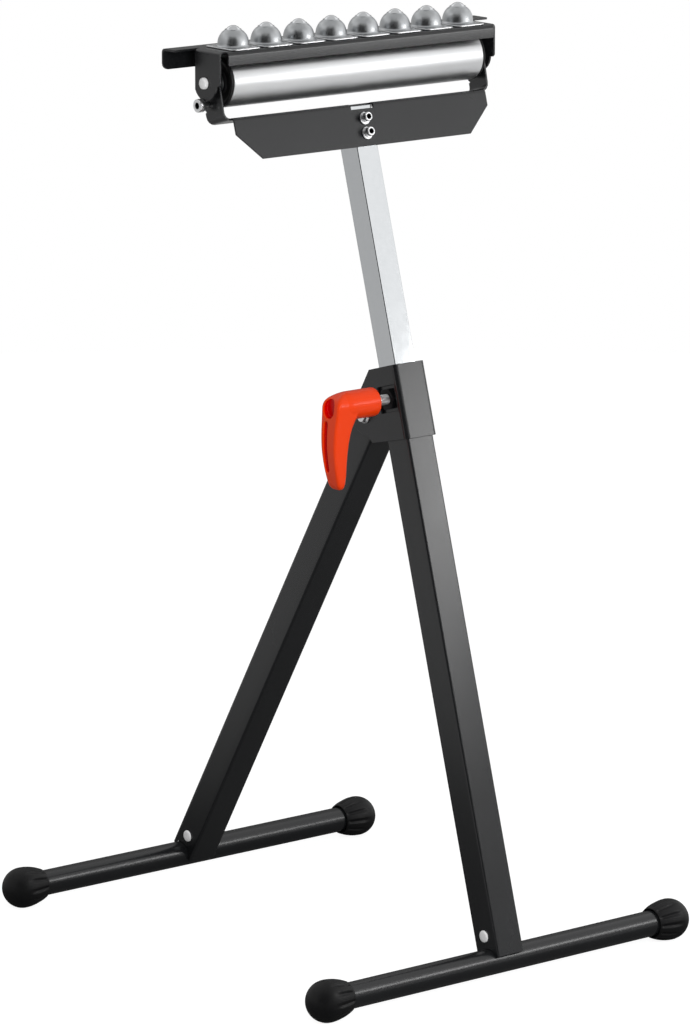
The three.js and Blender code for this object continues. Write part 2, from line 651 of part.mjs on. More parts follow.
// Side outline of a cradle cheek: a foot on the floor, a lobe for the lock screw and one round the axle
function cradleSide(front, rear) {
  const lockAt = axleAlong - LOCK_DROP;
  const lockLobe = LOCK_HEAD_D / 2 + LOCK_EDGE;
  const side = new THREE.Shape();
  side.moveTo(front, cradleFloor - 1);
  side.lineTo(rear, cradleFloor - 1);
  side.lineTo(rear, lockAt - lockLobe);
  side.absarc(LOCK_BACK, lockAt, lockLobe, -radians(60), radians(35));
  side.absarc(0, axleAlong, AXLE_LOBE, radians(10), Math.PI);
  return side;
}

function addCradle() {
  const half = cradleWidth / 2;
  const plateFront = -POST_SIZE / 2 - SEAT - CRADLE_SHEET;
  const walls = foldedU(cradleWidth, AXLE_RISE + AXLE_LOBE + 1, CRADLE_SHEET, CRADLE_BEND);
  const channel = prismY(walls, -CRADLE_FRONT - 10, CRADLE_REAR + 10, 4).translate(0, 0, cradleFloor);
  const side = prismX(cradleSide(-CRADLE_FRONT, CRADLE_REAR), -half - 1, half + 1, 8);
  const cheeks = common(channel, side);

  const floorTop = cradleFloor + CRADLE_SHEET;
  const bend = foldedL(-plateFront, PLATE_HEIGHT + CRADLE_SHEET, CRADLE_SHEET, PLATE_BEND);
  const bent = prismX(bend, -half, half, 4).translate(0, plateFront, floorTop);
  const plateBottom = cradleFloor - PLATE_HEIGHT;
  const shoulder = cradleFloor - PLATE_SHOULDER;
  const [t, b] = [plateTopWidth / 2, plateBottomWidth / 2];
  const face = outline([
    [-t, floorTop + 1],
    [-t, shoulder],
    [-b, plateBottom],
    [b, plateBottom],
    [t, shoulder],
    [t, floorTop + 1],
  ]);
  const plate = common(bent, prismY(face, plateFront - 1, CRADLE_REAR));

  const notchHalf = PLATE_NOTCH_WIDTH / 2;
  const notchBack = plateFront + PLATE_NOTCH_DEPTH;
  const notchBottom = cradleFloor - PLATE_NOTCH_DROP;
  const notch = box(-notchHalf, notchHalf, plateFront - 1, notchBack, notchBottom, floorTop + 1);
  const boltHoles = CRADLE_BOLT_DROPS.map((drop) =>
    rodY(CRADLE_BOLT_D / 2 + HOLE_PLAY, plateFront - 1, 0, 0, postTop - drop),
  );
  const axleHole = rodX(AXLE_D / 2 + HOLE_PLAY, -half - 1, half + 1, 0, axleAlong);
  const lockHole = rodX(LOCK_D / 2 + HOLE_PLAY, -half - 1, half + 1, LOCK_BACK, axleAlong - LOCK_DROP);
  const made = cut(join(cheeks, plate), notch, ...boltHoles, axleHole, lockHole);
  add(column, "roller_cradle", "blackPaint", made);

  const places = ["upper", "lower"];
  const boltGrip = CRADLE_WASHER_H + 2 * SEAT;
  const postBack = POST_SIZE / 2 + SEAT;
  CRADLE_BOLT_DROPS.forEach((drop, i) => {
    const along = postTop - drop;
    const length = postBack - plateFront + boltGrip + CRADLE_NUT_H + BOLT_TAIL;
    const bolt = socketBolt(CRADLE_BOLT_D, CRADLE_BOLT_HEAD_D, CRADLE_BOLT_HEAD_H, length);
    bolt.rotateZ(Math.PI / 2);
    add(column, `cradle_bolt_${places[i]}`, "zinc", bolt).position.set(0, plateFront - boltGrip, along);
    const flat = prismY(ring(CRADLE_WASHER_D / 2, CRADLE_BOLT_D / 2 + SEAT), -CRADLE_WASHER_H, 0, 12);
    add(column, `cradle_washer_${places[i]}`, "zinc", flat).position.set(0, plateFront - SEAT, along);
    const boltNut = nut(CRADLE_BOLT_D + 2 * SEAT, CRADLE_NUT_FLATS, CRADLE_NUT_H).rotateZ(Math.PI / 2);
    add(column, `cradle_nut_${places[i]}`, "zinc", boltNut).position.set(0, postBack, along);
  });
}

// Roller: a polished tube on two plugs with ball bearings, on an axle through both pairs of cheeks
function addRoller() {
  const half = ROLLER_LENGTH / 2;
  const bore = ROLLER_D / 2 - ROLLER_WALL;
  add(head, "roller_tube", "polished", prismX(ring(ROLLER_D / 2, bore), -half, half, 28));
  const axleR = AXLE_D / 2;
  const pocket = BEARING_D / 2 + SEAT;
  const pocketEnd = plugFace - BEARING_WIDTH - SEAT;
  const rim = ROLLER_D / 2 - PLUG_STEP;
  const frameHalf = frameWidth / 2;
  for (const [side, name] of [
    [-1, "left"],
    [1, "right"],
  ]) {
    const turn = side < 0 ? Math.PI : 0;
    const plug = turnedX(
      [
        [axleR + PLUG_BORE_PLAY, half - PLUG_SPIGOT],
        [bore - SEAT, half - PLUG_SPIGOT],
        [bore - SEAT, half + SEAT],
        [rim, half + SEAT],
        [rim, plugFace - PLUG_CHAMFER],
        [rim - PLUG_CHAMFER, plugFace],
        [pocket, plugFace],
        [pocket, pocketEnd],
        [axleR + PLUG_BORE_PLAY, pocketEnd],
        [axleR + PLUG_BORE_PLAY, half - PLUG_SPIGOT],
      ],
      18,
    );
    add(head, `roller_plug_${name}`, "blackPlastic", plug).rotation.z = turn;
    const bearingRing = ring(BEARING_D / 2, axleR + RUN_PLAY);
    const bearing = prismX(bearingRing, pocketEnd + SEAT, pocketEnd + SEAT + BEARING_WIDTH, 14);
    add(head, `roller_bearing_${name}`, "zinc", bearing).rotation.z = turn;
    const spacer = prismX(ring(SPACER_D / 2, axleR + SEAT), plugFace + SEAT, cradleInside - SEAT, 12);
    add(head, `axle_spacer_${name}`, "zinc", spacer).rotation.z = turn;
    const lockLength = frameHalf + 2 * SEAT - cradleInside + BOLT_TAIL;
    const lock = socketBolt(LOCK_D, LOCK_HEAD_D, LOCK_HEAD_H, lockLength);
    lock.translate(-frameHalf - 2 * SEAT, 0, 0);
    if (side > 0) lock.rotateZ(Math.PI);
    const lockAt = add(column, `lock_screw_${name}`, "zinc", lock);
    lockAt.position.set(0, LOCK_BACK, axleAlong - LOCK_DROP);
  }
  const reach = frameHalf + SEAT;
  const length = 2 * reach + AXLE_NUT_H + BOLT_TAIL;
  const axle = roundHeadBolt(AXLE_D, AXLE_HEAD_D, AXLE_HEAD_H, length);
  add(head, "roller_axle", "zinc", axle).position.x = -reach;
  const axleNut = nut(AXLE_D + 2 * SEAT, AXLE_NUT_FLATS, AXLE_NUT_H);
  add(head, "axle_nut", "zinc", axleNut).position.x = reach;
}

// Side outline of a ball frame cheek: straight front and rear edges and a lobe round the axle
function frameSide() {
  const front = -CHEEK_FRONT;
  const edge = -CHEEK_FRONT_DROP;
  const lobeStart = Math.PI - Math.asin(edge / CHEEK_LOBE);
  const lobeEnd = 2 * Math.PI - Math.acos(CHEEK_REAR / CHEEK_LOBE);
  const side = new THREE.Shape();
  side.moveTo(front, FRAME_RISE + 1);
  side.lineTo(front, edge + 2);
  side.lineTo(front + 2, edge);
  side.absarc(0, 0, CHEEK_LOBE, lobeStart, lobeEnd);
  side.lineTo(CHEEK_REAR, FRAME_RISE + 1);
  return side;
}

function addBallFrame() {
  const half = frameWidth / 2;
  const fold = foldedU(frameWidth, FRAME_RISE + CHEEK_LOBE + 2, FRAME_SHEET, FRAME_BEND);
  const channel = prismY(fold, -FRAME_FRONT, CHEEK_REAR, 4).rotateY(Math.PI).translate(0, 0, FRAME_RISE);
  const cheeks = common(channel, prismX(frameSide(), -half - 1, half + 1, 12));

  const lipFold = foldedL(FRAME_FRONT + 1, LIP_DROP, FRAME_SHEET, FRAME_BEND);
  const lip = prismX(lipFold, -lipWidth / 2, lipWidth / 2, 4).translate(0, -FRAME_FRONT, FRAME_RISE);
  const underside = FRAME_RISE - FRAME_SHEET;
  const deck = box(-lipWidth / 2, lipWidth / 2, 0, RAIL_REAR - FRAME_BEND, underside, FRAME_RISE);
  const earFront = CHEEK_REAR + EAR_RELIEF;
  const railFold = foldedL(RAIL_REAR - earFront, RAIL_DROP, FRAME_SHEET, FRAME_BEND);
  const fullRail = prismX(railFold, -lipWidth / 2, earWidth / 2, 4).rotateZ(Math.PI);
  fullRail.translate(0, RAIL_REAR, FRAME_RISE);
  const railShape = roundedRect(earWidth, 2 * RAIL_DROP, RAIL_CORNER);
  const railEnds = prismY(railShape, earFront - 1, RAIL_REAR + 1, 4).translate(0, 0, FRAME_RISE);
  const rail = common(fullRail, railEnds);
  const ear = box(lipWidth / 2 - 1, earWidth / 2, earFront, RAIL_REAR, underside, FRAME_RISE);
  const axleHole = rodX(AXLE_D / 2 + HOLE_PLAY, -half - 1, half + 1);
  add(head, "ball_frame", "blackPaint", cut(join(cheeks, lip, deck, rail, ear), axleHole));
}

// Ball transfer unit: a pressed dome on a flat flange, with a socket that holds the ball
// (ball and socket share their facets, so the play is the same all round)
function ballShape(radius) {
  return new THREE.SphereGeometry(radius, 12, 8).rotateX(Math.PI / 2);
}

function ballHousing() {
  const radius = DOME_D / 2;
  const base = SEAT;
  const ballCentre = BALL_TOP - BALL_D / 2;
  const socket = BALL_D / 2 + BALL_PLAY;
  const rim = Math.sqrt(socket ** 2 - (DOME_HEIGHT - ballCentre) ** 2) + DOME_LIP;
  const lastAngle = Math.acos(rim / radius);
  const profile = [
    [0, base],
    [radius, base],
  ];
  for (let i = 0; i <= DOME_STEPS; i++) {
    const angle = (i / DOME_STEPS) * lastAngle;
    const rise = ((DOME_HEIGHT - DOME_WALL_H) * Math.sin(angle)) / Math.sin(lastAngle);
    profile.push([radius * Math.cos(angle), DOME_WALL_H + rise]);
  }
  profile.push([0, DOME_HEIGHT]);
  const turned = profile.map(([r, z]) => new THREE.Vector2(r, z));
  const dome = new THREE.LatheGeometry(turned, 16).rotateX(Math.PI / 2);
  const plate = roundedRect(FLANGE_WIDTH, FLANGE_LENGTH, FLANGE_CORNER);
  const flange = prismZ(plate, base, base + FLANGE_SHEET, 4);
  const hollow = ballShape(socket).translate(0, 0, ballCentre);
  return cut(join(dome, flange), hollow);
}

function addBallUnits() {
  const first = (-(BALL_COUNT - 1) * ballPitch) / 2;
  for (let i = 0; i < BALL_COUNT; i++) {
    const x = first + i * ballPitch;
    add(head, `ball_housing_${i + 1}`, "zinc", ballHousing()).position.set(x, BALL_ROW, FRAME_RISE);
    const centre = FRAME_RISE + BALL_TOP - BALL_D / 2;
    const ball = geometryOf(solid(ballShape(BALL_D / 2)));
    add(head, `ball_${i + 1}`, "ballSteel", ball).position.set(x, BALL_ROW, centre);
  }
}

addFoot(frontFoot, "front");
addFoot(rearFoot, "rear");
addColumn();
addLeg();
addHinge();
addClamp();
addPost();
addCradle();
addRoller();
addBallFrame();
addBallUnits();

export default root;
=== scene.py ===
# %% [markdown]
# # A folding roller stand with a ball-transfer head
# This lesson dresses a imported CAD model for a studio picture. The CAD part is the fixed frame:
# every piece made here is in metres, in the same axes, and either stands in for a CAD piece or
# rides on the body that carries it.

import json
import math

import bmesh
import bpy
from mathutils import Matrix, Vector


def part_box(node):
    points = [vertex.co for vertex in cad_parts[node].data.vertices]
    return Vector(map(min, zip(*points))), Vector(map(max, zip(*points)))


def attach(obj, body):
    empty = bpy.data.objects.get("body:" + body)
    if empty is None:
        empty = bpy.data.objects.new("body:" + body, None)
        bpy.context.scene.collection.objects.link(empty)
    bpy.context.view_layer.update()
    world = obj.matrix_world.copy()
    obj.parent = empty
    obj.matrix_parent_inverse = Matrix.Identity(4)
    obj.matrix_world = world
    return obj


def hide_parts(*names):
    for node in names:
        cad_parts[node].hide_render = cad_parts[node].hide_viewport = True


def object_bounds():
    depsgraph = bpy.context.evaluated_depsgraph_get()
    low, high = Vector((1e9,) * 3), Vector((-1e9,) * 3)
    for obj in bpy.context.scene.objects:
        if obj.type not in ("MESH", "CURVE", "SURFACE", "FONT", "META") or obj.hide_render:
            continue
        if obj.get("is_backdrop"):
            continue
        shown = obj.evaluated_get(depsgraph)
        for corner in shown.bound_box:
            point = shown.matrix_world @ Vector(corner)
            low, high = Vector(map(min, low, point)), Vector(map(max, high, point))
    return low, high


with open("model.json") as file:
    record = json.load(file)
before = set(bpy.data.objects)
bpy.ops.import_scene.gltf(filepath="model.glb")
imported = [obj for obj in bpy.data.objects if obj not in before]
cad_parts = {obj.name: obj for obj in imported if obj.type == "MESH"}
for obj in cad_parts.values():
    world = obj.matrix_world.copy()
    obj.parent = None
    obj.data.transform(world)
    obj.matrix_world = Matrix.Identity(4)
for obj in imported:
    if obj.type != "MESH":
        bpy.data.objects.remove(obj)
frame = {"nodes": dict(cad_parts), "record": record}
cad_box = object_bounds()

# %% [markdown]
# ## The camera
# The photograph was taken with a long lens from the front left, a little above the middle of the
# stand. The place and the focal length were worked out beforehand from the four foot caps, the
# tubes and the head, so the picture lines up with the photograph. The image is 690 by 1024, so the
# lens is given on its height.

# %% Camera at the photograph's viewpoint
IMAGE_HEIGHT = 1024
FOCAL_PIXELS = 5609
SENSOR_MM = 36
AZIMUTH, ELEVATION = -38.85, 12.39
CAMERA_PLACE = (-3.2862, -4.0843, 1.5602)
FAR_CLIP = 50


def direction(azimuth, elevation):
    a, e = math.radians(azimuth), math.radians(elevation)
    return Vector((math.sin(a) * math.cos(e), -math.cos(a) * math.cos(e), math.sin(e)))


to_camera = direction(AZIMUTH, ELEVATION)
lens = bpy.data.cameras.new("photo_camera")
lens.sensor_fit = "VERTICAL"
lens.sensor_height = SENSOR_MM
lens.lens = FOCAL_PIXELS * SENSOR_MM / IMAGE_HEIGHT
lens.clip_end = FAR_CLIP
camera = bpy.data.objects.new("photo_camera", lens)
camera.location = CAMERA_PLACE
camera.rotation_euler = (-to_camera).to_track_quat("-Z", "Y").to_euler()
bpy.context.scene.collection.objects.link(camera)
bpy.context.scene.camera = camera
bpy.context.scene.view_settings.view_transform = "Standard"
print("lens", round(lens.lens, 1), "mm")

# %% [markdown]
# ## Small helpers for nodes and colours
# Colours are written as the sRGB hex values that a colour picker shows, and one function turns them
# to the linear numbers that the shader needs. One more function adds a node with its settings and
# links, for materials and for geometry alike, and a few short ones wrap the nodes that come back
# again and again.


# %% Colour and node helpers
def linear(code):
    channels = [int(code[i : i + 2], 16) / 255 for i in (1, 3, 5)]
    return [c / 12.92 if c <= 0.04045 else ((c + 0.055) / 1.055) ** 2.4 for c in channels] + [1]


def add_node(tree, kind, inputs=None, **settings):
    made = tree.nodes.new(kind)
    for key, value in settings.items():
        setattr(made, key, value)
    for key, value in (inputs or {}).items():
        if isinstance(value, bpy.types.NodeSocket):
            tree.links.new(value, made.inputs[key])
        else:
            made.inputs[key].default_value = value
    return made


def new_material(name):
    material = bpy.data.materials.new(name)
    material.use_nodes = True
    material.node_tree.nodes.clear()
    return material, material.node_tree


def object_place(tree):
    return add_node(tree, "ShaderNodeTexCoord").outputs["Object"]


def noise(tree, place, grain, detail):
    settings = {"Vector": place, "Scale": 1 / grain, "Detail": detail}
    return add_node(tree, "ShaderNodeTexNoise", settings).outputs["Fac"]


def spread(tree, value, low, high, of=(0.0, 1.0), **settings):
    limits = {"Value": value, "From Min": of[0], "From Max": of[1], "To Min": low, "To Max": high}
    return add_node(tree, "ShaderNodeMapRange", limits, **settings).outputs["Result"]


def two_tone(tree, share, low_tint, high_tint):
    made = add_node(tree, "ShaderNodeValToRGB", {"Fac": share})
    made.color_ramp.elements[0].color = linear(low_tint)
    made.color_ramp.elements[1].color = linear(high_tint)
    return made.outputs["Color"]


def bumped(tree, height, strength, depth):
    settings = {"Height": height, "Strength": strength, "Distance": depth}
    return add_node(tree, "ShaderNodeBump", settings).outputs["Normal"]


def maths(tree, operation, *values):
    return add_node(tree, "ShaderNodeMath", dict(enumerate(values)), operation=operation).outputs[0]


def vectors(tree, operation, *values, **named):
    inputs = dict(enumerate(values)) | named
    return add_node(tree, "ShaderNodeVectorMath", inputs, operation=operation).outputs


def finish_material(tree, look):
    shader = add_node(tree, "ShaderNodeBsdfPrincipled", look)
    add_node(tree, "ShaderNodeOutputMaterial", {"Surface": shader.outputs["BSDF"]})


print("white is", [round(c, 3) for c in linear("#ffffff")])

# %% [markdown]
# ## Gloss black powder coat
# The tubes and folded sheets are powder coated: black resin sprayed dry and baked, so it flows out
# glossy but keeps a fine ripple called orange peel. The ripple is about 2 mm across. It could be
# modelled, but a faint bump from a noise is enough, with the gloss varying a little over a hand's
# width as it does on a baked coat. The clamp nut sits in the shade of the handle's hub, so the same
# nodes give it a darker, matt coat with other numbers, as painted shade.


# %% Powder coat
PEEL_SIZE = 0.002
CLOUD_SIZE = 0.08


def powder_coat(name, low_tint, high_tint, sharp, dull, ior):
    material, tree = new_material(name)
    place = object_place(tree)
    peel = noise(tree, place, PEEL_SIZE, 2.0)
    cloud = noise(tree, place, CLOUD_SIZE, 3.0)
    look = {"Base Color": two_tone(tree, cloud, low_tint, high_tint), "IOR": ior}
    look["Roughness"] = spread(tree, cloud, sharp, dull)
    look["Normal"] = bumped(tree, peel, 0.12, 0.0002)
    finish_material(tree, look)
    return material


black_coat = powder_coat("gloss_black_powder_coat", "#141516", "#1a1b1d", 0.22, 0.3, 1.5)
# darker and duller than the frame's coat: painted shade for the nut under the hub
nut_coat_painted_shade = powder_coat("nut_coat_in_painted_shade", "#08080a", "#0c0c0e", 0.5, 0.6, 1.3)
print("made", black_coat.name, nut_coat_painted_shade.name)

# %% [markdown]
# ## Bright zinc plate
# The post, the screws and the pressed domes are steel with a bright zinc plating. Zinc is a metal,
# so its colour is in its reflection. It is not quite even: crystals and handling leave soft patches
# a few millimetres wide, which show as slight changes in gloss. The drawn post is the smoothest,
# the pressed domes are duller, and the flat bolt heads get a nearly white, barely metallic colour,
# a painted reflection that keeps them bright. The bearing balls are bare polished steel. A mesh can
# carry a value named recess, which darkens the inside of a screw's socket with painted shade.


# %% Zinc plate
PATCH_SIZE = 0.006
# the colour of the painted shade inside screw sockets
SOCKET_PAINTED_SHADE = "#2a2b2d"


def painted_recess_shade(tree):
    return add_node(tree, "ShaderNodeAttribute", attribute_name="recess").outputs["Fac"]


def zinc_plate(name, tints, dull, sharp, metal=1.0):
    material, tree = new_material(name)
    patch = noise(tree, object_place(tree), PATCH_SIZE, 4.0)
    # sockets 0, 6 and 7 of a colour mix are its share and its two colours
    # the recess value mixes painted shade into the zinc colour
    sunk = {0: painted_recess_shade(tree), 6: two_tone(tree, patch, *tints), 7: linear(SOCKET_PAINTED_SHADE)}
    shade = add_node(tree, "ShaderNodeMix", sunk, data_type="RGBA").outputs[2]
    look = {"Base Color": shade, "Roughness": spread(tree, patch, sharp, dull), "Metallic": metal}
    finish_material(tree, look)
    return material


zinc = zinc_plate("bright_zinc_plate", ("#e2e3e4", "#ededee"), 0.32, 0.24)
post_zinc = zinc_plate("drawn_zinc_tube", ("#cbced0", "#d2d4d6"), 0.10, 0.06)
dome_zinc = zinc_plate("pressed_zinc_dome", ("#a6a9ac", "#cacccd"), 0.44, 0.30)
ball_steel = zinc_plate("polished_bearing_steel", ("#d6d8da", "#e4e6e8"), 0.08, 0.03)
# nearly white and barely metallic: a painted reflection that keeps the flat heads bright
head_zinc_painted_reflection = zinc_plate("zinc_head_painted_reflection", ("#f2f2f2", "#fafafa"), 0.5, 0.4, 0.1)
print("made", zinc.name, post_zinc.name, dome_zinc.name, ball_steel.name, head_zinc_painted_reflection.name)

# %% [markdown]
# ## Polished roller
# The roller is a steel tube polished while it turns, so the finest scratches run round it. They are
# far thinner than a pixel, so they are drawn about half a millimetre apart, as coarse as they need
# to be to show at all.


# %% Polished steel with a turned finish
SCRATCH_SPACING = 0.0005
SCRATCHES_ROUND = 12.0  # a metre, so that each runs a good way round


def turned_steel():
    material, tree = new_material("turned_polished_steel")
    stretch = (1 / SCRATCH_SPACING, SCRATCHES_ROUND, SCRATCHES_ROUND)
    place = {"Vector": object_place(tree), "Scale": stretch}
    along = add_node(tree, "ShaderNodeMapping", place).outputs["Vector"]
    lines = noise(tree, along, 1.0, 3.0)
    look = {"Base Color": linear("#d9dadb"), "Metallic": 1.0}
    look["Roughness"] = spread(tree, lines, 0.36, 0.44)
    look["Normal"] = bumped(tree, lines, 0.04, 0.0001)
    finish_material(tree, look)
    return material


roller_steel = turned_steel()
print("made", roller_steel.name)

# %% [markdown]
# ## Moulded plastics
# The foot caps, the bush and the roller plugs are black polyethylene, moulded with a fine matt
# grain of about half a millimetre. The clamp handle is a harder glossy plastic, orange all through.
# Its recesses look a deeper red, because light bounces inside them and the colour multiplies, so
# the handle's mesh carries a value for how deep a point lies.


# %% Plastics
CAP_GRAIN = 0.0006
CAP_CLOUD = 0.02
HANDLE_GRAIN = 0.0008


def cap_plastic():
    material, tree = new_material("moulded_black_polyethylene")
    place = object_place(tree)
    look = {"Base Color": two_tone(tree, noise(tree, place, CAP_CLOUD, 2.0), "#0b0b0c", "#111112")}
    look["Normal"] = bumped(tree, noise(tree, place, CAP_GRAIN, 2.0), 0.2, 0.0001)
    finish_material(tree, look | {"Roughness": 0.5, "IOR": 1.35})
    return material


def handle_plastic():
    material, tree = new_material("moulded_orange_polyamide")
    look = {"Base Color": two_tone(tree, painted_recess_shade(tree), "#ef400a", "#d40000")}
    look["Normal"] = bumped(tree, noise(tree, object_place(tree), HANDLE_GRAIN, 2.0), 0.1, 0.0001)
    finish_material(tree, look | {"Roughness": 0.3, "IOR": 1.3})
    return material


black_plastic = cap_plastic()
orange_plastic = handle_plastic()
print("made", black_plastic.name, orange_plastic.name)

# %% [markdown]
# ## Helpers for pieces
# A finished piece is a plain mesh whose object stays at the origin. It rides on a body and hides the
# CAD nodes it stands for. Edges are shown smooth below a limit
# angle, so turned pieces look round while real corners stay crisp.

# %% Piece helpers
MM = 0.001
bodies = frame["record"]["behaviour"]["bodies"]
body_of_node = {node: body for body, nodes in bodies.items() for node in nodes}


def smooth_below(shape, degrees):
    for face in shape.faces:
        face.smooth = True
    for edge in shape.edges:
        edge.smooth = edge.calc_face_angle(0) < math.radians(degrees)


def mesh_object(name, shape, material=None):
    mesh = bpy.data.meshes.new(name)
    shape.to_mesh(mesh)
    shape.free()
    made = bpy.data.objects.new(name, mesh)
    bpy.context.scene.collection.objects.link(made)
    if material:
        mesh.materials.append(material)
    return made


def baked(made):
    graph = bpy.context.evaluated_depsgraph_get()
    mesh = bpy.data.meshes.new_from_object(made.evaluated_get(graph))
    made.modifiers.clear()
    made.data = mesh
    return made


def seat(piece, nodes):
    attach(piece, body_of_node[nodes[0]])
    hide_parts(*nodes)
    return piece


# %% [markdown]
# ## Tubes and folded sheets
# Cut tube and folded sheet always have slightly broken edges, which catch a thin line of light. The
# CAD solids have the right shape with sharp edges, so each one is copied, its loose triangles are
# merged back into flat faces, and a narrow bevel is run round every corner sharper than 50 degrees.
# The bends themselves are only shaded smooth.

# %% Soften the CAD edges
SHEET_EDGE = 0.35 * MM
WASHER_EDGE = 0.15 * MM
CORNER_DEGREES = 50
FLAT_DEGREES = 0.5
SAME_POINT = 2e-6


def softened(name, material, edge=SHEET_EDGE):
    shape = bmesh.new()
    shape.from_mesh(frame["nodes"][name].data)
    bmesh.ops.remove_doubles(shape, verts=shape.verts, dist=SAME_POINT)
    flat = math.radians(FLAT_DEGREES)
    bmesh.ops.dissolve_limit(shape, angle_limit=flat, verts=shape.verts, edges=shape.edges)
    smooth_below(shape, CORNER_DEGREES)
    piece = mesh_object(name + "_soft", shape, material)
    bevel = piece.modifiers.new("broken_edge", "BEVEL")
    bevel.width = edge
    bevel.segments = 2
    bevel.limit_method = "ANGLE"
    bevel.angle_limit = math.radians(CORNER_DEGREES)
    flats = piece.modifiers.new("flat_faces_stay_flat", "WEIGHTED_NORMAL")
    flats.keep_sharp = True
    return seat(baked(piece), [name])


painted = ["column_tube", "rear_leg", "hinge_bracket", "roller_cradle", "ball_frame"]
painted += [f"{end}_foot_{kind}" for end in ("front", "rear") for kind in ("tube", "bracket")]
for name in painted:
    softened(name, black_coat)
softened("clamp_nut", nut_coat_painted_shade)
softened("post_tube", post_zinc)
softened("column_bush", black_plastic)
rings = ["axle_spacer_left", "axle_spacer_right", "cradle_washer_upper", "cradle_washer_lower"]
for name in rings:
    softened(name, zinc, WASHER_EDGE)
print("softened", len(painted) + len(rings) + 3, "pieces")

# %% [markdown]
# ## Turned pieces
# Bolts, nuts, caps, the roller and the domes are all turned about an axis. One function spins a
# list of rings about X: a ring is a radius and a place along the axis, and a ring marked as
# hexagonal follows a hexagon of that width across its flats, which is enough for bolt heads, nuts
# and sockets.


# %% Spin rings about X
TURNED_DEGREES = 40


def spun(rings, segments=48, closed=False):
    shape = bmesh.new()
    loops = []
    for size, along, *hexagonal in rings:
        if size == 0:
            loops.append([shape.verts.new((along * MM, 0, 0))])
            continue
        loop = []
        for i in range(segments):
            angle = 2 * math.pi * i / segments
            radius = size / 2 / math.cos(angle % (math.pi / 3) - math.pi / 6) if hexagonal else size
            spot = (along * MM, radius * math.cos(angle) * MM, radius * math.sin(angle) * MM)
            loop.append(shape.verts.new(spot))
        loops.append(loop)
    for a, b in zip(loops, loops[1:] + (loops[:1] if closed else [])):
        for i in range(segments):
            j = (i + 1) % segments
            corners = [a[i % len(a)], a[j % len(a)], b[j % len(b)], b[i % len(b)]]
            corners = list(dict.fromkeys(corners))
            if len(corners) > 2:
                shape.faces.new(corners)
    bmesh.ops.recalc_face_normals(shape, faces=shape.faces)
    return shape


def arc(centre_r, centre_x, radius, start, end, steps):
    angles = [math.radians(start + (end - start) * i / steps) for i in range(steps + 1)]
    return [(centre_r + radius * math.cos(a), centre_x + radius * math.sin(a)) for a in angles]


def middle(node):
    low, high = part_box(node)
    return (low + high) / 2


flatness = 1 - math.cos(math.pi / 48)
print("a ring of 48 corners is round to", round(flatness * 100, 2), "percent of its radius")

# %% [markdown]
# ## The roller
# The roller is a thin tube on two plastic plugs, with a sealed ball bearing pressed into each plug.
# The tube's ends are turned to a small radius. The plug has a shallow dish round the bearing, and
# the bearing shows its outer ring, its inner ring and a seal sunk between them.

# %% Roller tube, plugs and bearings
AXLE = middle("roller_tube")
ROLLER_R = 24
ROLLER_HALF = 150
ROLLER_WALL = 1.5
ROLLER_ROUND = 0.8


def roller_ends(rings, name, material, closed=True, segments=72):
    for side, turn in (("left", math.pi), ("right", 0)):
        shape = spun(rings, segments, closed)
        smooth_below(shape, TURNED_DEGREES)
        piece = mesh_object(f"{name}_{side}_turned", shape, material)
        piece.data.transform(Matrix.Translation(AXLE) @ Matrix.Rotation(turn, 4, "Z"))
        seat(piece, [f"{name}_{side}"])


tube = arc(ROLLER_R - ROLLER_ROUND, ROLLER_HALF - ROLLER_ROUND, ROLLER_ROUND, 0, 90, 4)
tube += [(ROLLER_R - ROLLER_WALL, ROLLER_HALF)]
tube += [(r, -x) for r, x in reversed(tube)]
shape = spun(tube, 128, True)
smooth_below(shape, TURNED_DEGREES)
roller = mesh_object("roller_tube_turned", shape, roller_steel)
roller.data.transform(Matrix.Translation(AXLE))
seat(roller, ["roller_tube"])

# spigot, flange, dish and bearing seat, as radius and distance from the roller's middle
plug = [(5.7, 137), (22.1, 137), (22.1, 150.3), (23.4, 150.3), (23.6, 150.6), (23.6, 152.4)]
plug += [(23.2, 152.9), (22.4, 153), (20.6, 152.7), (19.4, 151.6), (14.6, 151.6), (13.6, 152.7)]
plug += [(12.8, 153), (11.4, 153), (11.3, 152.9), (11.3, 145.7), (5.7, 145.7)]
roller_ends(plug, "roller_plug", black_plastic)
# outer ring, sunk seal and inner ring
bearing = [(4.35, 146.1), (10.9, 146.1), (11, 146.3), (11, 152.7), (10.8, 152.9), (9.6, 152.9)]
bearing += [(9.4, 152.5), (6.4, 152.5), (6.2, 152.9), (4.5, 152.9), (4.35, 152.7)]
roller_ends(bearing, "roller_bearing", zinc)
print("roller", 2 * ROLLER_HALF, "x", 2 * ROLLER_R, "mm")

# %% [markdown]
# ## Ball transfer units in a row
# Each unit is a steel dome pressed from sheet, with a flat flange below and a lip rolled in over
# the ball. The units are all alike and evenly spaced, so one dome is made and a small Geometry
# Nodes tree sets copies of it along a line. The tree ends in real geometry, because copies that are
# only instances are lost on export. The dome flares at its foot, narrows to a shoulder, and closes
# over the ball in a thin lip, with the full socket behind it.

# %% One dome and its flange
BALL_R = 7.95
DOME_R = 14.7
SHOULDER_R = 9.4
SHOULDER_TOP = 15.6
DOME_WALL = 4
DOME_STEPS = 16
SEAT = 0.3
FLANGE_EDGE = 0.3 * MM
FLANGE = {"width": 34, "length": 44, "corner": 5, "low": SEAT, "high": 1.5}


def rounded_outline(width, length, corner, steps=6):
    ring = []
    for k, (sx, sy) in enumerate(((1, 1), (-1, 1), (-1, -1), (1, -1))):
        for i in range(steps + 1):
            a = math.pi / 2 * (k + i / steps)
            x = sx * (width / 2 - corner) + corner * math.cos(a)
            y = sy * (length / 2 - corner) + corner * math.sin(a)
            ring.append((x * MM, y * MM))
    return ring


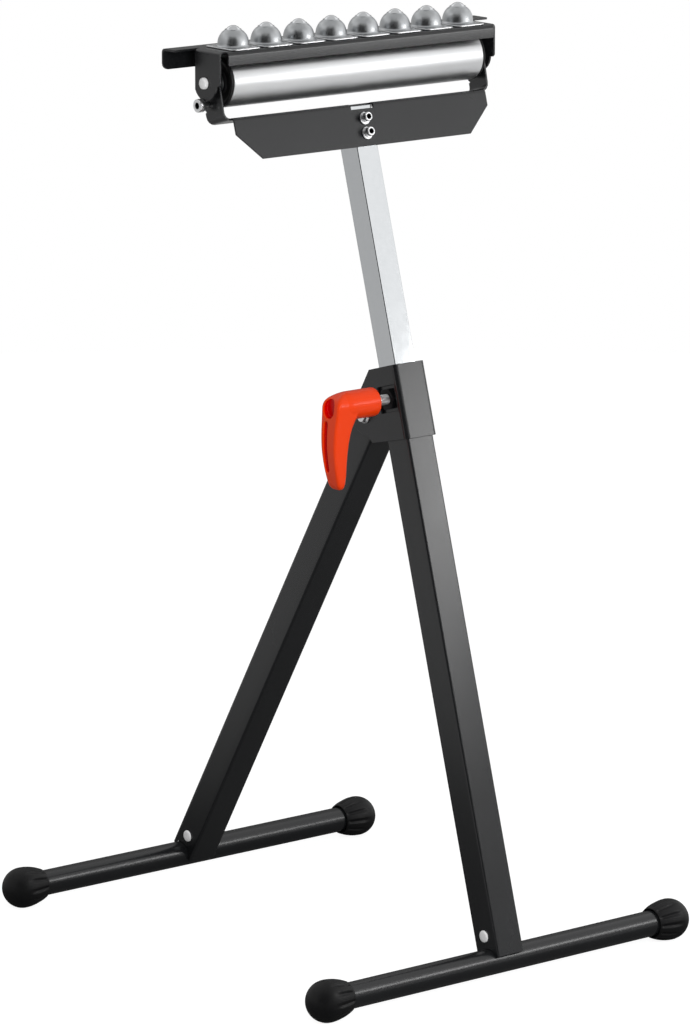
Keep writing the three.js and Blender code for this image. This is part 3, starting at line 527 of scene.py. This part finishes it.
def rounded_plate(width, length, corner, low, high):
    shape = bmesh.new()
    ring = rounded_outline(width, length, corner)
    face = shape.faces.new([shape.verts.new((x, y, low * MM)) for x, y in ring])
    lifted = bmesh.ops.extrude_face_region(shape, geom=[face])["geom"]
    moved = [v for v in lifted if isinstance(v, bmesh.types.BMVert)]
    bmesh.ops.translate(shape, verts=moved, vec=(0, 0, (high - low) * MM))
    bmesh.ops.recalc_face_normals(shape, faces=shape.faces)
    return shape


last_angle = math.acos(SHOULDER_R / DOME_R)
rise = (SHOULDER_TOP - DOME_WALL) / math.sin(last_angle)
angles = [last_angle * i / DOME_STEPS for i in range(DOME_STEPS + 1)]
flare = [(2.2, 1.6), (2.2, 1.7), (1.3, 1.95), (0.6, 2.5), (0.15, 3.3)]
dome = [(0, 1.6)] + [(DOME_R + out, up) for out, up in flare]
dome += [(DOME_R * math.cos(a), DOME_WALL + rise * math.sin(a)) for a in angles]
# the lip rolled in over the ball, and the socket behind it
dome += [(8.9, 15.85), (8.45, 16.15), (8.1, 16.5), (7.85, 16.9), (7.7, 17.3), (7.55, 17.5)]
dome += [(7.4, 17.5), (7.3, 17.3)]
dome += [(7.4, 16.9), (8, 15.5), (8.3, 13.05), (7.95, 10.7), (6.6, 8.1), (4.3, 6), (0, 4.7)]
shape = spun(dome, 64)
shape.transform(Matrix.Rotation(-math.pi / 2, 4, "Y"))
smooth_below(shape, TURNED_DEGREES)
dome_part = mesh_object("dome_part", shape)
shape = rounded_plate(**FLANGE)
smooth_below(shape, TURNED_DEGREES)
flange_part = mesh_object("flange_part", shape)
cut_edge = flange_part.modifiers.new("broken_edge", "BEVEL")
cut_edge.width = FLANGE_EDGE
cut_edge.segments = 2
baked(flange_part)
print("dome corners", len(dome_part.data.vertices))

# %% A row by Geometry Nodes


def new_tree(name, **kinds):
    tree = bpy.data.node_groups.new(name, "GeometryNodeTree")
    ids = {}
    for key, kind in kinds.items():
        socket = tree.interface.new_socket(key, in_out="INPUT", socket_type="NodeSocket" + kind)
        ids[key] = socket.identifier
    tree.interface.new_socket("Geometry", in_out="OUTPUT", socket_type="NodeSocketGeometry")
    return tree, ids, add_node(tree, "NodeGroupInput").outputs


def object_shape(tree, given):
    return add_node(tree, "GeometryNodeObjectInfo", {"Object": given}).outputs["Geometry"]


def end_tree(tree, shape, finish):
    coated = add_node(tree, "GeometryNodeSetMaterial", {0: shape, "Material": finish})
    add_node(tree, "NodeGroupOutput", {"Geometry": coated.outputs[0]})


def real_copies(tree, given, points, **more):
    where = {"Points": points, "Instance": object_shape(tree, given["unit"])} | more
    copies = add_node(tree, "GeometryNodeInstanceOnPoints", where)
    real = add_node(tree, "GeometryNodeRealizeInstances", {0: copies.outputs[0]})
    end_tree(tree, real.outputs[0], given["finish"])


def grown(name, tree_and_ids, **values):
    tree, ids = tree_and_ids
    made = bpy.data.objects.new(name, bpy.data.meshes.new(name))
    bpy.context.scene.collection.objects.link(made)
    growth = made.modifiers.new("growth", "NODES")
    growth.node_group = tree
    for key, value in values.items():
        growth[ids[key]] = value
    return baked(made)


def row_tree():
    inputs = {"count": "Int", "pitch": "Float", "middle": "Vector"}
    inputs |= {"unit": "Object", "finish": "Material"}
    tree, ids, given = new_tree("row_of_units", **inputs)
    step = add_node(tree, "ShaderNodeCombineXYZ", {"X": given["pitch"]}).outputs[0]
    spans = maths(tree, "SUBTRACT", given["count"], 1.0)
    half = maths(tree, "MULTIPLY", spans, -0.5)
    back = vectors(tree, "SCALE", step, Scale=half)[0]
    start = vectors(tree, "ADD", given["middle"], back)[0]
    places = {"Count": given["count"], "Start Location": start, "Offset": step}
    line = add_node(tree, "GeometryNodeMeshLine", places).outputs[0]
    real_copies(tree, given, line)
    return tree, ids


row = row_tree()
BALLS = [middle(f"ball_{i}") for i in range(1, 9)]
housings = [f"ball_housing_{i}" for i in range(1, 9)]
row_middle = (BALLS[0] + BALLS[-1]) / 2
row_middle.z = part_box("ball_housing_1")[0].z - SEAT * MM
pitch = (BALLS[-1].x - BALLS[0].x) / (len(BALLS) - 1)
line = {"count": len(BALLS), "pitch": pitch, "middle": row_middle[:]}
domes = grown("dome_row", row, unit=dome_part, finish=dome_zinc, **line)
flanges = grown("flange_row", row, unit=flange_part, finish=zinc, **line)
seat(domes, housings)
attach(flanges, "ball_frame")
for used in (dome_part, flange_part):
    bpy.data.objects.remove(used)
print("row of", len(BALLS), "domes,", round(pitch * 1000, 2), "mm apart")

# %% [markdown]
# ## The balls
# A ball is ground to a few microns, so its mesh has to be fine enough to reflect without facets.
# Each ball turns in its own socket, so each is a piece of its own.

# %% Balls
for i, centre in enumerate(BALLS, 1):
    shape = bmesh.new()
    bmesh.ops.create_icosphere(shape, subdivisions=4, radius=BALL_R * MM)
    smooth_below(shape, TURNED_DEGREES)
    ball = mesh_object(f"ball_{i}_ground", shape, ball_steel)
    ball.data.transform(Matrix.Translation(centre))
    seat(ball, [f"ball_{i}"])
print("ground", len(BALLS), "balls")

# %% [markdown]
# ## Fluted foot caps
# A cap is a ball with a short neck that is pushed over the tube. Twelve grooves run from the neck
# and fade out on the ball, to give a thumb some grip. The smooth skin is spun, and a Geometry Nodes
# tree presses the grooves into it: it reads each point's angle round the tube and its distance
# along the neck, so the count and the depth stay inputs.

# %% Cap skin and groove tree
CAP_R = 20
CAP_NECK = 22.5
CAP_NECK_R = 15
CAP_FLAT = 0.5
CAP_STEPS = 16
CAP_SKIN_R = 14.9
GROOVES = 12
GROOVE_DEPTH = 1.7


def cap_shape():
    rings = [(0, CAP_R)] + arc(0, 0, CAP_R, 85, 5, CAP_STEPS)
    for i in range(CAP_STEPS + 1):
        t = i / CAP_STEPS
        rings.append((CAP_R - (CAP_R - CAP_NECK_R) * t * t, -CAP_NECK * t))
    # the rounded mouth, its lead-in and the bore that takes the tube
    rings += [(14.8, -22.8), (14.3, -22.9), (13.9, -22.4), (12.8, -20.1), (12.8, -4.5), (0, -4.5)]
    shape = spun(rings, 144)
    for corner in shape.verts:
        corner.co.z = max(corner.co.z, (CAP_FLAT - CAP_R) * MM)
    smooth_below(shape, CORNER_DEGREES)
    return shape


def groove_tree():
    inputs = {"skin": "Object", "count": "Int", "depth": "Float", "neck": "Float", "finish": "Material"}
    tree, ids, given = new_tree("pressed_grooves", **inputs)
    spot = add_node(tree, "GeometryNodeInputPosition").outputs[0]
    part = add_node(tree, "ShaderNodeSeparateXYZ", {0: spot}).outputs
    angle = maths(tree, "ARCTAN2", part["Z"], part["Y"])
    wave = maths(tree, "COSINE", maths(tree, "MULTIPLY", angle, given["count"]))
    press = spread(tree, wave, 0.0, 1.0, of=(0.1, 1.0))
    share = maths(tree, "DIVIDE", part["X"], given["neck"])
    # the grooves fade out on the ball and stop short of the mouth
    for ends in ((0.25, -0.35), (-1.0, -0.85)):
        fade = spread(tree, share, 0.0, 1.0, of=ends, interpolation_type="SMOOTHSTEP")
        press = maths(tree, "MULTIPLY", press, fade)
    press = maths(tree, "MULTIPLY", press, given["depth"])
    inward = maths(tree, "MULTIPLY", press, -1.0)
    across = add_node(tree, "ShaderNodeCombineXYZ", {"Y": part["Y"], "Z": part["Z"]}).outputs[0]
    outward = vectors(tree, "NORMALIZE", across)[0]
    moved = {"Geometry": object_shape(tree, given["skin"])}
    moved["Offset"] = vectors(tree, "SCALE", outward, Scale=inward)[0]
    reach = vectors(tree, "LENGTH", across)["Value"]
    moved["Selection"] = maths(tree, "GREATER_THAN", reach, CAP_SKIN_R * MM)
    pressed = add_node(tree, "GeometryNodeSetPosition", moved).outputs[0]
    end_tree(tree, pressed, given["finish"])
    return tree, ids


grooves = groove_tree()
cap_skin = mesh_object("cap_skin", cap_shape())
print("cap skin corners", len(cap_skin.data.vertices))

# %% Four caps
pressing = {"skin": cap_skin, "count": GROOVES, "depth": GROOVE_DEPTH * MM, "neck": CAP_NECK * MM}
for end in ("front", "rear"):
    for side, turn in (("left", math.pi), ("right", 0)):
        node = f"{end}_foot_cap_{side}"
        low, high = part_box(node)
        cap = grown(node + "_fluted", grooves, finish=black_plastic, **pressing)
        ball_x = high.x - CAP_R * MM if side == "right" else low.x + CAP_R * MM
        centre = Vector((ball_x, (low.y + high.y) / 2, (CAP_R - CAP_FLAT) * MM))
        cap.data.transform(Matrix.Translation(centre) @ Matrix.Rotation(turn, 4, "Z"))
        seat(cap, [node])
bpy.data.objects.remove(cap_skin)
print("four caps on the feet")

# %% [markdown]
# ## Socket screws
# The cradle and the ball frame are held by socket cap screws. Their round heads are knurled so that
# they can be spun in by hand, and a hexagon socket is sunk in the end, marked as a recess so that
# it is painted dark as shade. One head is spun with a ripple round it, and Geometry Nodes stand a copy at
# each screw's place, turned the way that the screw points.

# %% One socket head
SCREW_RIPPLES = 30
RIPPLE_DEPTH = 0.028
SOCKET_FLOOR = 0.35  # height of the socket's floor, as a share of the head
HEAD_HEIGHT = 6
STEM = 8  # a short stem, because the rest is hidden


def socket_head(head_r, head_h, socket_flats):
    deep = -head_h * SOCKET_FLOOR
    rings = [(0, deep + 0.6), (socket_flats * 0.45, deep), (socket_flats, deep, 6)]
    rings += [(socket_flats, -head_h + 0.3, 6), (socket_flats * 0.62, -head_h), (head_r - 0.7, -head_h)]
    rings += [(head_r - 0.15, -head_h + 0.4), (head_r, -head_h + 0.8), (head_r, -0.5), (head_r - 0.3, 0)]
    rings += [(head_r * 0.5, 0), (head_r * 0.5, STEM), (0, STEM)]
    shape = spun(rings, 4 * SCREW_RIPPLES)
    recess = shape.verts.layers.float.new("recess")
    for corner in shape.verts:
        reach = math.hypot(corner.co.y, corner.co.z)
        if reach > (head_r - 0.05) * MM:
            angle = math.atan2(corner.co.z, corner.co.y)
            scale = 1 - RIPPLE_DEPTH * (1 + math.cos(SCREW_RIPPLES * angle)) / 2
            corner.co.y *= scale
            corner.co.z *= scale
        # points inside the socket take the painted shade
        sunk = (0.1 - head_h) * MM < corner.co.x < 0
        corner[recess] = sunk and reach < 0.6 * socket_flats * MM
    smooth_below(shape, TURNED_DEGREES)
    return shape


cradle_head = mesh_object("cradle_head", socket_head(4.4, HEAD_HEIGHT, 4.6))
lock_head = mesh_object("lock_head", socket_head(6.3, HEAD_HEIGHT, 5.5))
print("head corners", len(cradle_head.data.vertices))

# %% Stand copies on points


def points_tree():
    inputs = {"places": "Object", "unit": "Object", "finish": "Material"}
    tree, ids, given = new_tree("screws_on_points", **inputs)
    points = object_shape(tree, given["places"])
    kind = {"data_type": "FLOAT_VECTOR"}
    heading = add_node(tree, "GeometryNodeInputNamedAttribute", {"Name": "heading"}, **kind).outputs[0]
    turn = add_node(tree, "FunctionNodeAlignRotationToVector", {"Vector": heading}, axis="X").outputs[0]
    real_copies(tree, given, points, Rotation=turn)
    return tree, ids


def screws(name, nodes, unit, places):
    shape = bmesh.new()
    for spot, _ in places:
        shape.verts.new(spot)
    spots = mesh_object(name + "_places", shape)
    heading = spots.data.attributes.new("heading", "FLOAT_VECTOR", "POINT")
    heading.data.foreach_set("vector", [c for _, way in places for c in way])
    made = grown(name, on_points, places=spots, unit=unit, finish=zinc)
    bpy.data.objects.remove(spots)
    bpy.data.objects.remove(unit)
    return seat(made, nodes)


on_points = points_tree()
LEAN = math.radians(16)
rightwards = Vector((1, 0, 0))
into_plate = Vector((0, math.cos(LEAN), -math.sin(LEAN)))


def reach_along(node, way):
    made = frame["nodes"][node]
    places = [(made.matrix_world @ v.co).dot(way) for v in made.data.vertices]
    return min(places), max(places)


def head_seat(node, way, head_h):
    centre = middle(node)
    start, _ = reach_along(node, way)
    return centre + way * (start + head_h * MM - centre.dot(way))


def screw_places(ways):
    return [(head_seat(node, way, HEAD_HEIGHT), way) for node, way in ways.items()]


cradle_ways = {"cradle_bolt_upper": into_plate, "cradle_bolt_lower": into_plate}
lock_ways = {"lock_screw_left": rightwards, "lock_screw_right": -rightwards}
screws("cradle_screws", list(cradle_ways), cradle_head, screw_places(cradle_ways))
screws("lock_screws", list(lock_ways), lock_head, screw_places(lock_ways))
print("four socket screws")

# %% [markdown]
# ## Round heads, hexagon heads and nuts
# The axle and the foot bolts have thin, nearly flat round heads, and the leg pivot is a hexagon
# bolt with a flange under its head. The nuts have chamfered corners and a bore. Each is spun from a
# few rings and set where its CAD piece is, with the place along the axis counted from that piece's
# outer end.


# %% Bolts and nuts
BOLT_DEGREES = 35
SHANK_POINT = 0.8
CHAMFER = 0.475  # radius of a hexagon's chamfer, as a share of its flats
HEAD_ROUND = 2
# shares of the head's radius and of the depth of its round, from the middle out
HEAD_CROWN = [(0.45, 0.02), (0.72, 0.09), (0.87, 0.22), (0.96, 0.45), (1, 0.8)]


def set_along(name, node, shape, way, finish=zinc):
    smooth_below(shape, BOLT_DEGREES)
    piece = mesh_object(name, shape, finish)
    turn = rightwards.rotation_difference(way).to_matrix().to_4x4()
    piece.data.transform(Matrix.Translation(head_seat(node, way, 0)) @ turn)
    return seat(piece, [node])


def length_of(node, way):
    start, end = reach_along(node, way)
    return (end - start) / MM


def shank(radius, start, end):
    return [(radius, start), (radius, end - SHANK_POINT), (radius - SHANK_POINT, end), (0, end)]


def round_bolt(head_r, head_h, thick, shank_r, length):
    top = head_h - thick
    crown = [(head_r * out, top + min(thick, HEAD_ROUND) * down) for out, down in HEAD_CROWN]
    return spun([(0, top)] + crown + [(head_r, head_h)] + shank(shank_r, head_h, length), 48)


def hex_nut(flats, height, bore_r):
    rings = [(bore_r + 0.5, 0), (flats * CHAMFER, 0), (flats, 0.07 * height, 6), (flats, 0.9 * height, 6)]
    rings += [(flats * CHAMFER, height), (bore_r + 0.5, height), (bore_r, height - 0.5), (bore_r, 0.5)]
    return spun(rings, 48, True)


def flange_bolt(flats, flange_r, head_h, shank_r, length):
    lip = head_h - 1.2
    rings = [(0, 0.2), (flats * 0.42, 0.2), (flats * CHAMFER, 0), (flats, 0.12 * head_h, 6)]
    rings += [(flats, lip - 0.8, 6), (flange_r - 0.3, lip), (flange_r, lip + 0.3), (flange_r, head_h)]
    return spun(rings + shank(shank_r, head_h, length), 48)


axle_pin = round_bolt(5.5, 6.5, 3.4, 4, length_of("roller_axle", rightwards))
set_along("roller_axle_pin", "roller_axle", axle_pin, rightwards, head_zinc_painted_reflection)
for end in ("front", "rear"):
    foot_bolt = round_bolt(5.8, 5, 1.8, 3, length_of(f"{end}_foot_bolt", rightwards))
    set_along(f"{end}_foot_bolt_head", f"{end}_foot_bolt", foot_bolt, rightwards, head_zinc_painted_reflection)
    set_along(f"{end}_foot_nut_cut", f"{end}_foot_nut", hex_nut(10, 5, 3.3), rightwards)
leg_pivot = flange_bolt(10, 7, 5.3, 4, length_of("leg_pivot_bolt", rightwards))
set_along("leg_pivot_bolt_head", "leg_pivot_bolt", leg_pivot, rightwards)
set_along("leg_pivot_nut_cut", "leg_pivot_nut", hex_nut(13, 6.5, 4.3), rightwards)
set_along("axle_nut_cut", "axle_nut", hex_nut(13, 5, 4.3), rightwards)
for place in ("upper", "lower"):
    set_along(f"cradle_nut_{place}_cut", f"cradle_nut_{place}", hex_nut(10, 5, 3.3), into_plate)
print("bolts and nuts set")

# %% [markdown]
# ## The clamp stud's thread
# Between the handle and the column a short length of screw thread shows. A thread is a ridge wound
# along a helix, so Geometry Nodes draw the helix as a spiral curve and sweep a small hexagon along
# it, half sunk in a plain core.

# %% Stud core and thread
STUD_R = 5
THREAD_PITCH = 1.5
THREAD_LENGTH = 25.5
THREAD_DEPTH = 0.6


def thread_tree():
    inputs = {"radius": "Float", "pitch": "Float", "length": "Float", "finish": "Material"}
    tree, ids, given = new_tree("screw_thread", **inputs)
    helix = {"Resolution": 28, "Rotations": maths(tree, "DIVIDE", given["length"], given["pitch"])}
    helix |= {"Start Radius": given["radius"], "End Radius": given["radius"], "Height": given["length"]}
    ridge = {"Resolution": 6, "Radius": maths(tree, "MULTIPLY", given["pitch"], 0.46)}
    sweep = {"Curve": add_node(tree, "GeometryNodeCurveSpiral", helix).outputs[0], "Fill Caps": True}
    sweep["Profile Curve"] = add_node(tree, "GeometryNodeCurvePrimitiveCircle", ridge).outputs[0]
    swept = add_node(tree, "GeometryNodeCurveToMesh", sweep).outputs[0]
    end_tree(tree, swept, given["finish"])
    return tree, ids


stud_low, stud_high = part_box("clamp_stud")
stud_axis = (stud_low + stud_high) / 2
core_r = STUD_R - THREAD_DEPTH
stud_rings = [(0, 0), (core_r - 0.6, 0), (core_r, 0.8)]
stud_rings += shank(core_r, 1, length_of("clamp_stud", rightwards))
set_along("clamp_stud_core", "clamp_stud", spun(stud_rings), rightwards)
winding = {"radius": core_r * MM, "pitch": THREAD_PITCH * MM, "length": THREAD_LENGTH * MM}
thread = grown("clamp_stud_thread", thread_tree(), finish=zinc, **winding)
start = Vector((stud_high.x - (THREAD_LENGTH + 1) * MM, stud_axis.y, stud_axis.z))
thread.data.transform(Matrix.Translation(start) @ Matrix.Rotation(math.pi / 2, 4, "Y"))
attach(thread, "clamp")
print("thread of", round(THREAD_LENGTH / THREAD_PITCH), "turns")

# %% [markdown]
# ## The clamp handle
# The handle is one moulding: a round hub with an arm that curves out and hangs down, all its
# corners well rounded, with a long slot along the arm and an oval pocket in the end of the hub to
# keep the walls even. Hub and arm are united, the recesses are cut, and a fine voxel remesh
# followed by smoothing gives the soft corners of a moulding.

# %% Handle outline
HUB_R = 13.75
HUB_ELBOW = 20
HUB_BORE = 5.3
HUB_LENGTH = 51.5
HUB_ROUND = 2
BORE_DEPTH = 24
HUB_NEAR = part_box("clamp_handle")[1].x / MM
HUB_FAR = HUB_NEAR - HUB_LENGTH
BORE_END = HUB_NEAR - BORE_DEPTH
ARM_CORNER = 2.6
# level sections: height from the hub axis, outer and inner face from the hub's far end, half width
ARM_SECTIONS = [(12.4, 11.5, 26, 5), (8, 3.3, 27, 10), (2, -0.3, 29, 12.6), (-8, -1.4, 24, 12.4)]
ARM_SECTIONS += [(-20, -2.7, 18.2, 11.6), (-31, -3.2, 15.2, 11.2), (-42, -2.9, 13.6, 10.7)]
ARM_SECTIONS += [(-55, -1.2, 12.9, 10), (-66, 1.1, 12.7, 9.2), (-74, 3.4, 12, 8.2)]
ARM_SECTIONS += [(-77.4, 5.4, 11, 6.4), (-78.4, 6.6, 10, 4.4)]


def between(p, q, r, s, t):
    # the Catmull-Rom curve from q to r, with p before and s after
    square = 2 * p - 5 * q + 4 * r - s
    cube = 3 * q - p - 3 * r + s
    return 0.5 * (2 * q + (r - p) * t + square * t * t + cube * t**3)


def flowing(points, steps=8):
    ends = [points[0]] + points + [points[-1]]
    made = []
    for four in zip(ends, ends[1:], ends[2:], ends[3:]):
        for i in range(steps):
            made.append(tuple(between(*values, i / steps) for values in zip(*four)))
    return made + [points[-1]]


arm_levels = flowing(ARM_SECTIONS)
print("arm sections", len(arm_levels))

# %% Unite, cut and smooth the handle


def changed(base, tool, operation):
    step = base.modifiers.new(operation.lower(), "BOOLEAN")
    step.operation = operation
    step.object = tool
    step.solver = "EXACT"
    baked(base)
    bpy.data.objects.remove(tool)
    return base


def moulded_arm(name):
    shape = bmesh.new()
    loops = []
    for z, outer, inner, half in arm_levels:
        thick = inner - outer
        ring = rounded_outline(thick, 2 * half, min(ARM_CORNER, 0.45 * thick, 0.9 * half))
        centre = (HUB_FAR + (outer + inner) / 2) * MM
        loops.append([shape.verts.new((centre + x, y, z * MM)) for x, y in ring])
    for a, b in zip(loops, loops[1:]):
        for i in range(len(a)):
            shape.faces.new([a[i - 1], a[i], b[i], b[i - 1]])
    shape.faces.new(loops[0])
    shape.faces.new(loops[-1])
    bmesh.ops.recalc_face_normals(shape, faces=shape.faces)
    return mesh_object(name, shape)


def recess_tool(name, wide, tall, deep, y, z):
    tool = rounded_plate(tall, wide, 0.49 * wide, -HUB_ELBOW, deep)
    place = Vector((HUB_FAR, y, z)) * MM
    tool.transform(Matrix.Translation(place) @ Matrix.Rotation(math.pi / 2, 4, "Y"))
    return mesh_object(name, tool)


POCKET = {"wide": 15.5, "tall": 18, "deep": 4.5, "y": 1.75, "z": -1}
SLOT = {"wide": 5.5, "tall": 49, "deep": 13, "y": 4.2, "z": -37.5}
SLOT_DEPTH = 3
turns = [math.radians(6 * i) for i in range(16)]
hub_rings = [(HUB_R * math.sin(a), HUB_FAR + HUB_ELBOW * (1 - math.cos(a))) for a in turns]
hub_rings += arc(HUB_R - HUB_ROUND, HUB_NEAR - HUB_ROUND, HUB_ROUND, 0, 90, 4)
hub_rings += [(HUB_BORE, HUB_NEAR), (HUB_BORE, BORE_END), (0, BORE_END)]
handle = mesh_object("clamp_handle_moulded", spun(hub_rings, 96))
changed(handle, moulded_arm("arm"), "UNION")
bore = spun([(0, BORE_END), (HUB_BORE, BORE_END), (HUB_BORE, HUB_NEAR + 1), (0, HUB_NEAR + 1)], 48)
changed(handle, mesh_object("bore", bore), "DIFFERENCE")
changed(handle, recess_tool("pocket", **POCKET), "DIFFERENCE")
slot_tool = recess_tool("slot", **SLOT)
floor_of_slot = moulded_arm("slot_floor")
floor_of_slot.data.transform(Matrix.Translation((SLOT_DEPTH * MM, 0, 0)))
changed(slot_tool, floor_of_slot, "DIFFERENCE")
changed(handle, slot_tool, "DIFFERENCE")
print("handle corners before remesh", len(handle.data.vertices))

# %% Remesh and mark the recesses
VOXEL = 0.5 * MM
WALL = 1  # how far past a recess's outline its walls may lie

voxels = handle.modifiers.new("moulding", "REMESH")
voxels.mode = "VOXEL"
voxels.voxel_size = VOXEL
voxels.use_smooth_shade = True
relax = handle.modifiers.new("flow", "SMOOTH")
relax.factor = 0.5
relax.iterations = 4
baked(handle)


def ramp(value, low, high):
    return min(1, max(0, (value - low) / (high - low)))


def inside(recess, y, z):
    across = recess["wide"] / 2 - abs(y - recess["y"])
    along = recess["tall"] / 2 - abs(z - recess["z"])
    return ramp(across, -WALL, -WALL / 2) * ramp(along, -WALL, -WALL / 2)


def recess_depth(spot):
    x, y, z = (c / MM for c in spot)
    outer = HUB_FAR + min(arm_levels, key=lambda level: abs(level[0] - z))[1]
    sunk = ramp(x - outer, 0.7, 2) * ramp(outer + 7 - x, 0, 1)
    return sunk * max(inside(SLOT, y, z), inside(POCKET, y, z))


recess = handle.data.attributes.new("recess", "FLOAT", "POINT")
recess.data.foreach_set("value", [recess_depth(v.co) for v in handle.data.vertices])
handle.data.materials.clear()
handle.data.materials.append(orange_plastic)
handle.data.transform(Matrix.Translation((0, stud_axis.y, stud_axis.z)))
seat(handle, ["clamp_handle"])
print("handle corners", len(handle.data.vertices))

# %% [markdown]
# ## Studio
# The photograph has a white ground and soft light. The painted fronts pick up a grey sheen that is
# brightest near the top, and the painted sides stay nearly black. A strip lamp in front on the
# right and a fill lamp in front on the left give the light, and cards that only reflections can see
# give the sheen: a bright panel and a grey one in front on the right, pale ones to the rear and
# above, and a nearly black one beside the camera. The floor looks white to the camera, but in
# reflections it darkens near the feet, as a floor in the shade of the stand does.

# %% Floor, world, lamps and cards
FLOOR_R = 3
FLOOR_DROP = 0.0005
SHADE_FROM, SHADE_TO = 0.42, 1.0  # distances between which the floor's reflection brightens
MIDDLE = (0, 0, 0.6)


def studio_floor():
    shape = bmesh.new()
    bmesh.ops.create_circle(shape, cap_ends=True, segments=96, radius=FLOOR_R)
    material, tree = new_material("pale_studio_floor")
    ray = add_node(tree, "ShaderNodeLightPath").outputs
    away = vectors(tree, "LENGTH", object_place(tree))["Value"]
    mirrored = spread(tree, away, 0.2, 1.0, of=(SHADE_FROM, SHADE_TO))
    shade = spread(tree, ray["Is Glossy Ray"], 0.3, mirrored)
    paper = add_node(tree, "ShaderNodeBsdfDiffuse", {"Color": shade})
    lift = maths(tree, "MULTIPLY", ray["Is Camera Ray"], 0.9)
    glow = add_node(tree, "ShaderNodeEmission", {"Color": linear("#ffffff"), "Strength": lift})
    lit = add_node(tree, "ShaderNodeAddShader", {0: paper.outputs[0], 1: glow.outputs[0]})
    add_node(tree, "ShaderNodeOutputMaterial", {"Surface": lit.outputs[0]})
    floor = mesh_object("studio_floor", shape, material)
    floor.location.z = -FLOOR_DROP
    floor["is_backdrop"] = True


def white_world(fill):
    world = bpy.data.worlds.new("white_studio")
    world.use_nodes = True
    tree = world.node_tree
    tree.nodes.clear()
    ray = add_node(tree, "ShaderNodeLightPath").outputs
    seen = maths(tree, "MAXIMUM", ray["Is Camera Ray"], ray["Is Glossy Ray"])
    seen = maths(tree, "MAXIMUM", seen, ray["Is Transmission Ray"])
    level = spread(tree, seen, fill, 1.0)
    sky = add_node(tree, "ShaderNodeBackground", {"Color": linear("#ffffff"), "Strength": level})
    add_node(tree, "ShaderNodeOutputWorld", {"Surface": sky.outputs[0]})
    bpy.context.scene.world = world


def facing(place, aim):
    return (Vector(aim) - Vector(place)).to_track_quat("-Z", "Y").to_euler()


def softbox(name, place, size, power, mirrored=True, aim=MIDDLE):
    lamp = bpy.data.lights.new(name, "AREA")
    lamp.shape = "RECTANGLE"
    lamp.size, lamp.size_y = size
    lamp.energy = power
    made = bpy.data.objects.new(name, lamp)
    made.location = place
    made.rotation_euler = facing(place, aim)
    made.visible_glossy = mirrored
    bpy.context.scene.collection.objects.link(made)


def card(name, place, size, low_shade, high_shade, aim=MIDDLE, strength=1.0):
    shape = bmesh.new()
    bmesh.ops.create_grid(shape, x_segments=1, y_segments=1, size=0.5)
    material, tree = new_material(name)
    height = add_node(tree, "ShaderNodeSeparateXYZ", {0: object_place(tree)}).outputs["Y"]
    share = spread(tree, height, 0.0, 1.0, of=(-0.5, 0.5))
    shade = two_tone(tree, share, low_shade, high_shade)
    paper = add_node(tree, "ShaderNodeEmission", {"Color": shade, "Strength": strength})
    add_node(tree, "ShaderNodeOutputMaterial", {"Surface": paper.outputs[0]})
    made = mesh_object(name, shape, material)
    made.location = place
    made.scale = (size[0], size[1], 1)
    made.rotation_euler = facing(place, aim)
    made.visible_camera = False
    made.visible_diffuse = False
    made.visible_transmission = False
    made.visible_shadow = False
    made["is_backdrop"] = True


studio_floor()
white_world(0.45)
softbox("front_right_strip", (1.25, -1.6, 0.88), (0.9, 0.3), 6.5, aim=(0, 0, 0.88))
softbox("front_left_fill", (-1.0, -2.2, 1.2), (1.2, 1.2), 35, mirrored=False)
panel_aim = (0, 0, 1.5)
card("front_right_panel", (1.3, -1.65, 1.5), (1.8, 0.8), "#ffffff", "#ffffff", panel_aim, strength=1.2)
card("front_right_low_card", (1.3, -1.65, 0.35), (2.4, 0.7), "#c8c8c8", "#c8c8c8", aim=(0, 0, 0.35))
card("rear_left_card", (-0.8, 1.0, 0.75), (2.6, 1.5), "#cccccc", "#c0c0c0", aim=(0, 0, 0.75))
card("camera_side_card", (-1.4, -1.4, 1.9), (3.2, 3.6), "#0c0c0c", "#0c0c0c", aim=(0, 0, 1.9))
card("rear_right_card", (1.6, 2.0, 1.2), (2.6, 2.6), "#303030", "#b8b8b8")
card("top_card", (0, 0, 2.6), (3, 3), "#cfcfcf", "#cfcfcf")
print("studio ready")

# %% [markdown]
# ## The finished size
# The box of the finished model is printed beside the CAD box, so that it is easy to see that the
# looks did not change the object's size.

# %% Sizes and finish
dressed_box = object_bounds()
for name, before, after in zip(("low", "high"), cad_box, dressed_box):
    print(name, "corner moved by", [round((d - c) / MM, 2) for c, d in zip(before, after)], "mm")
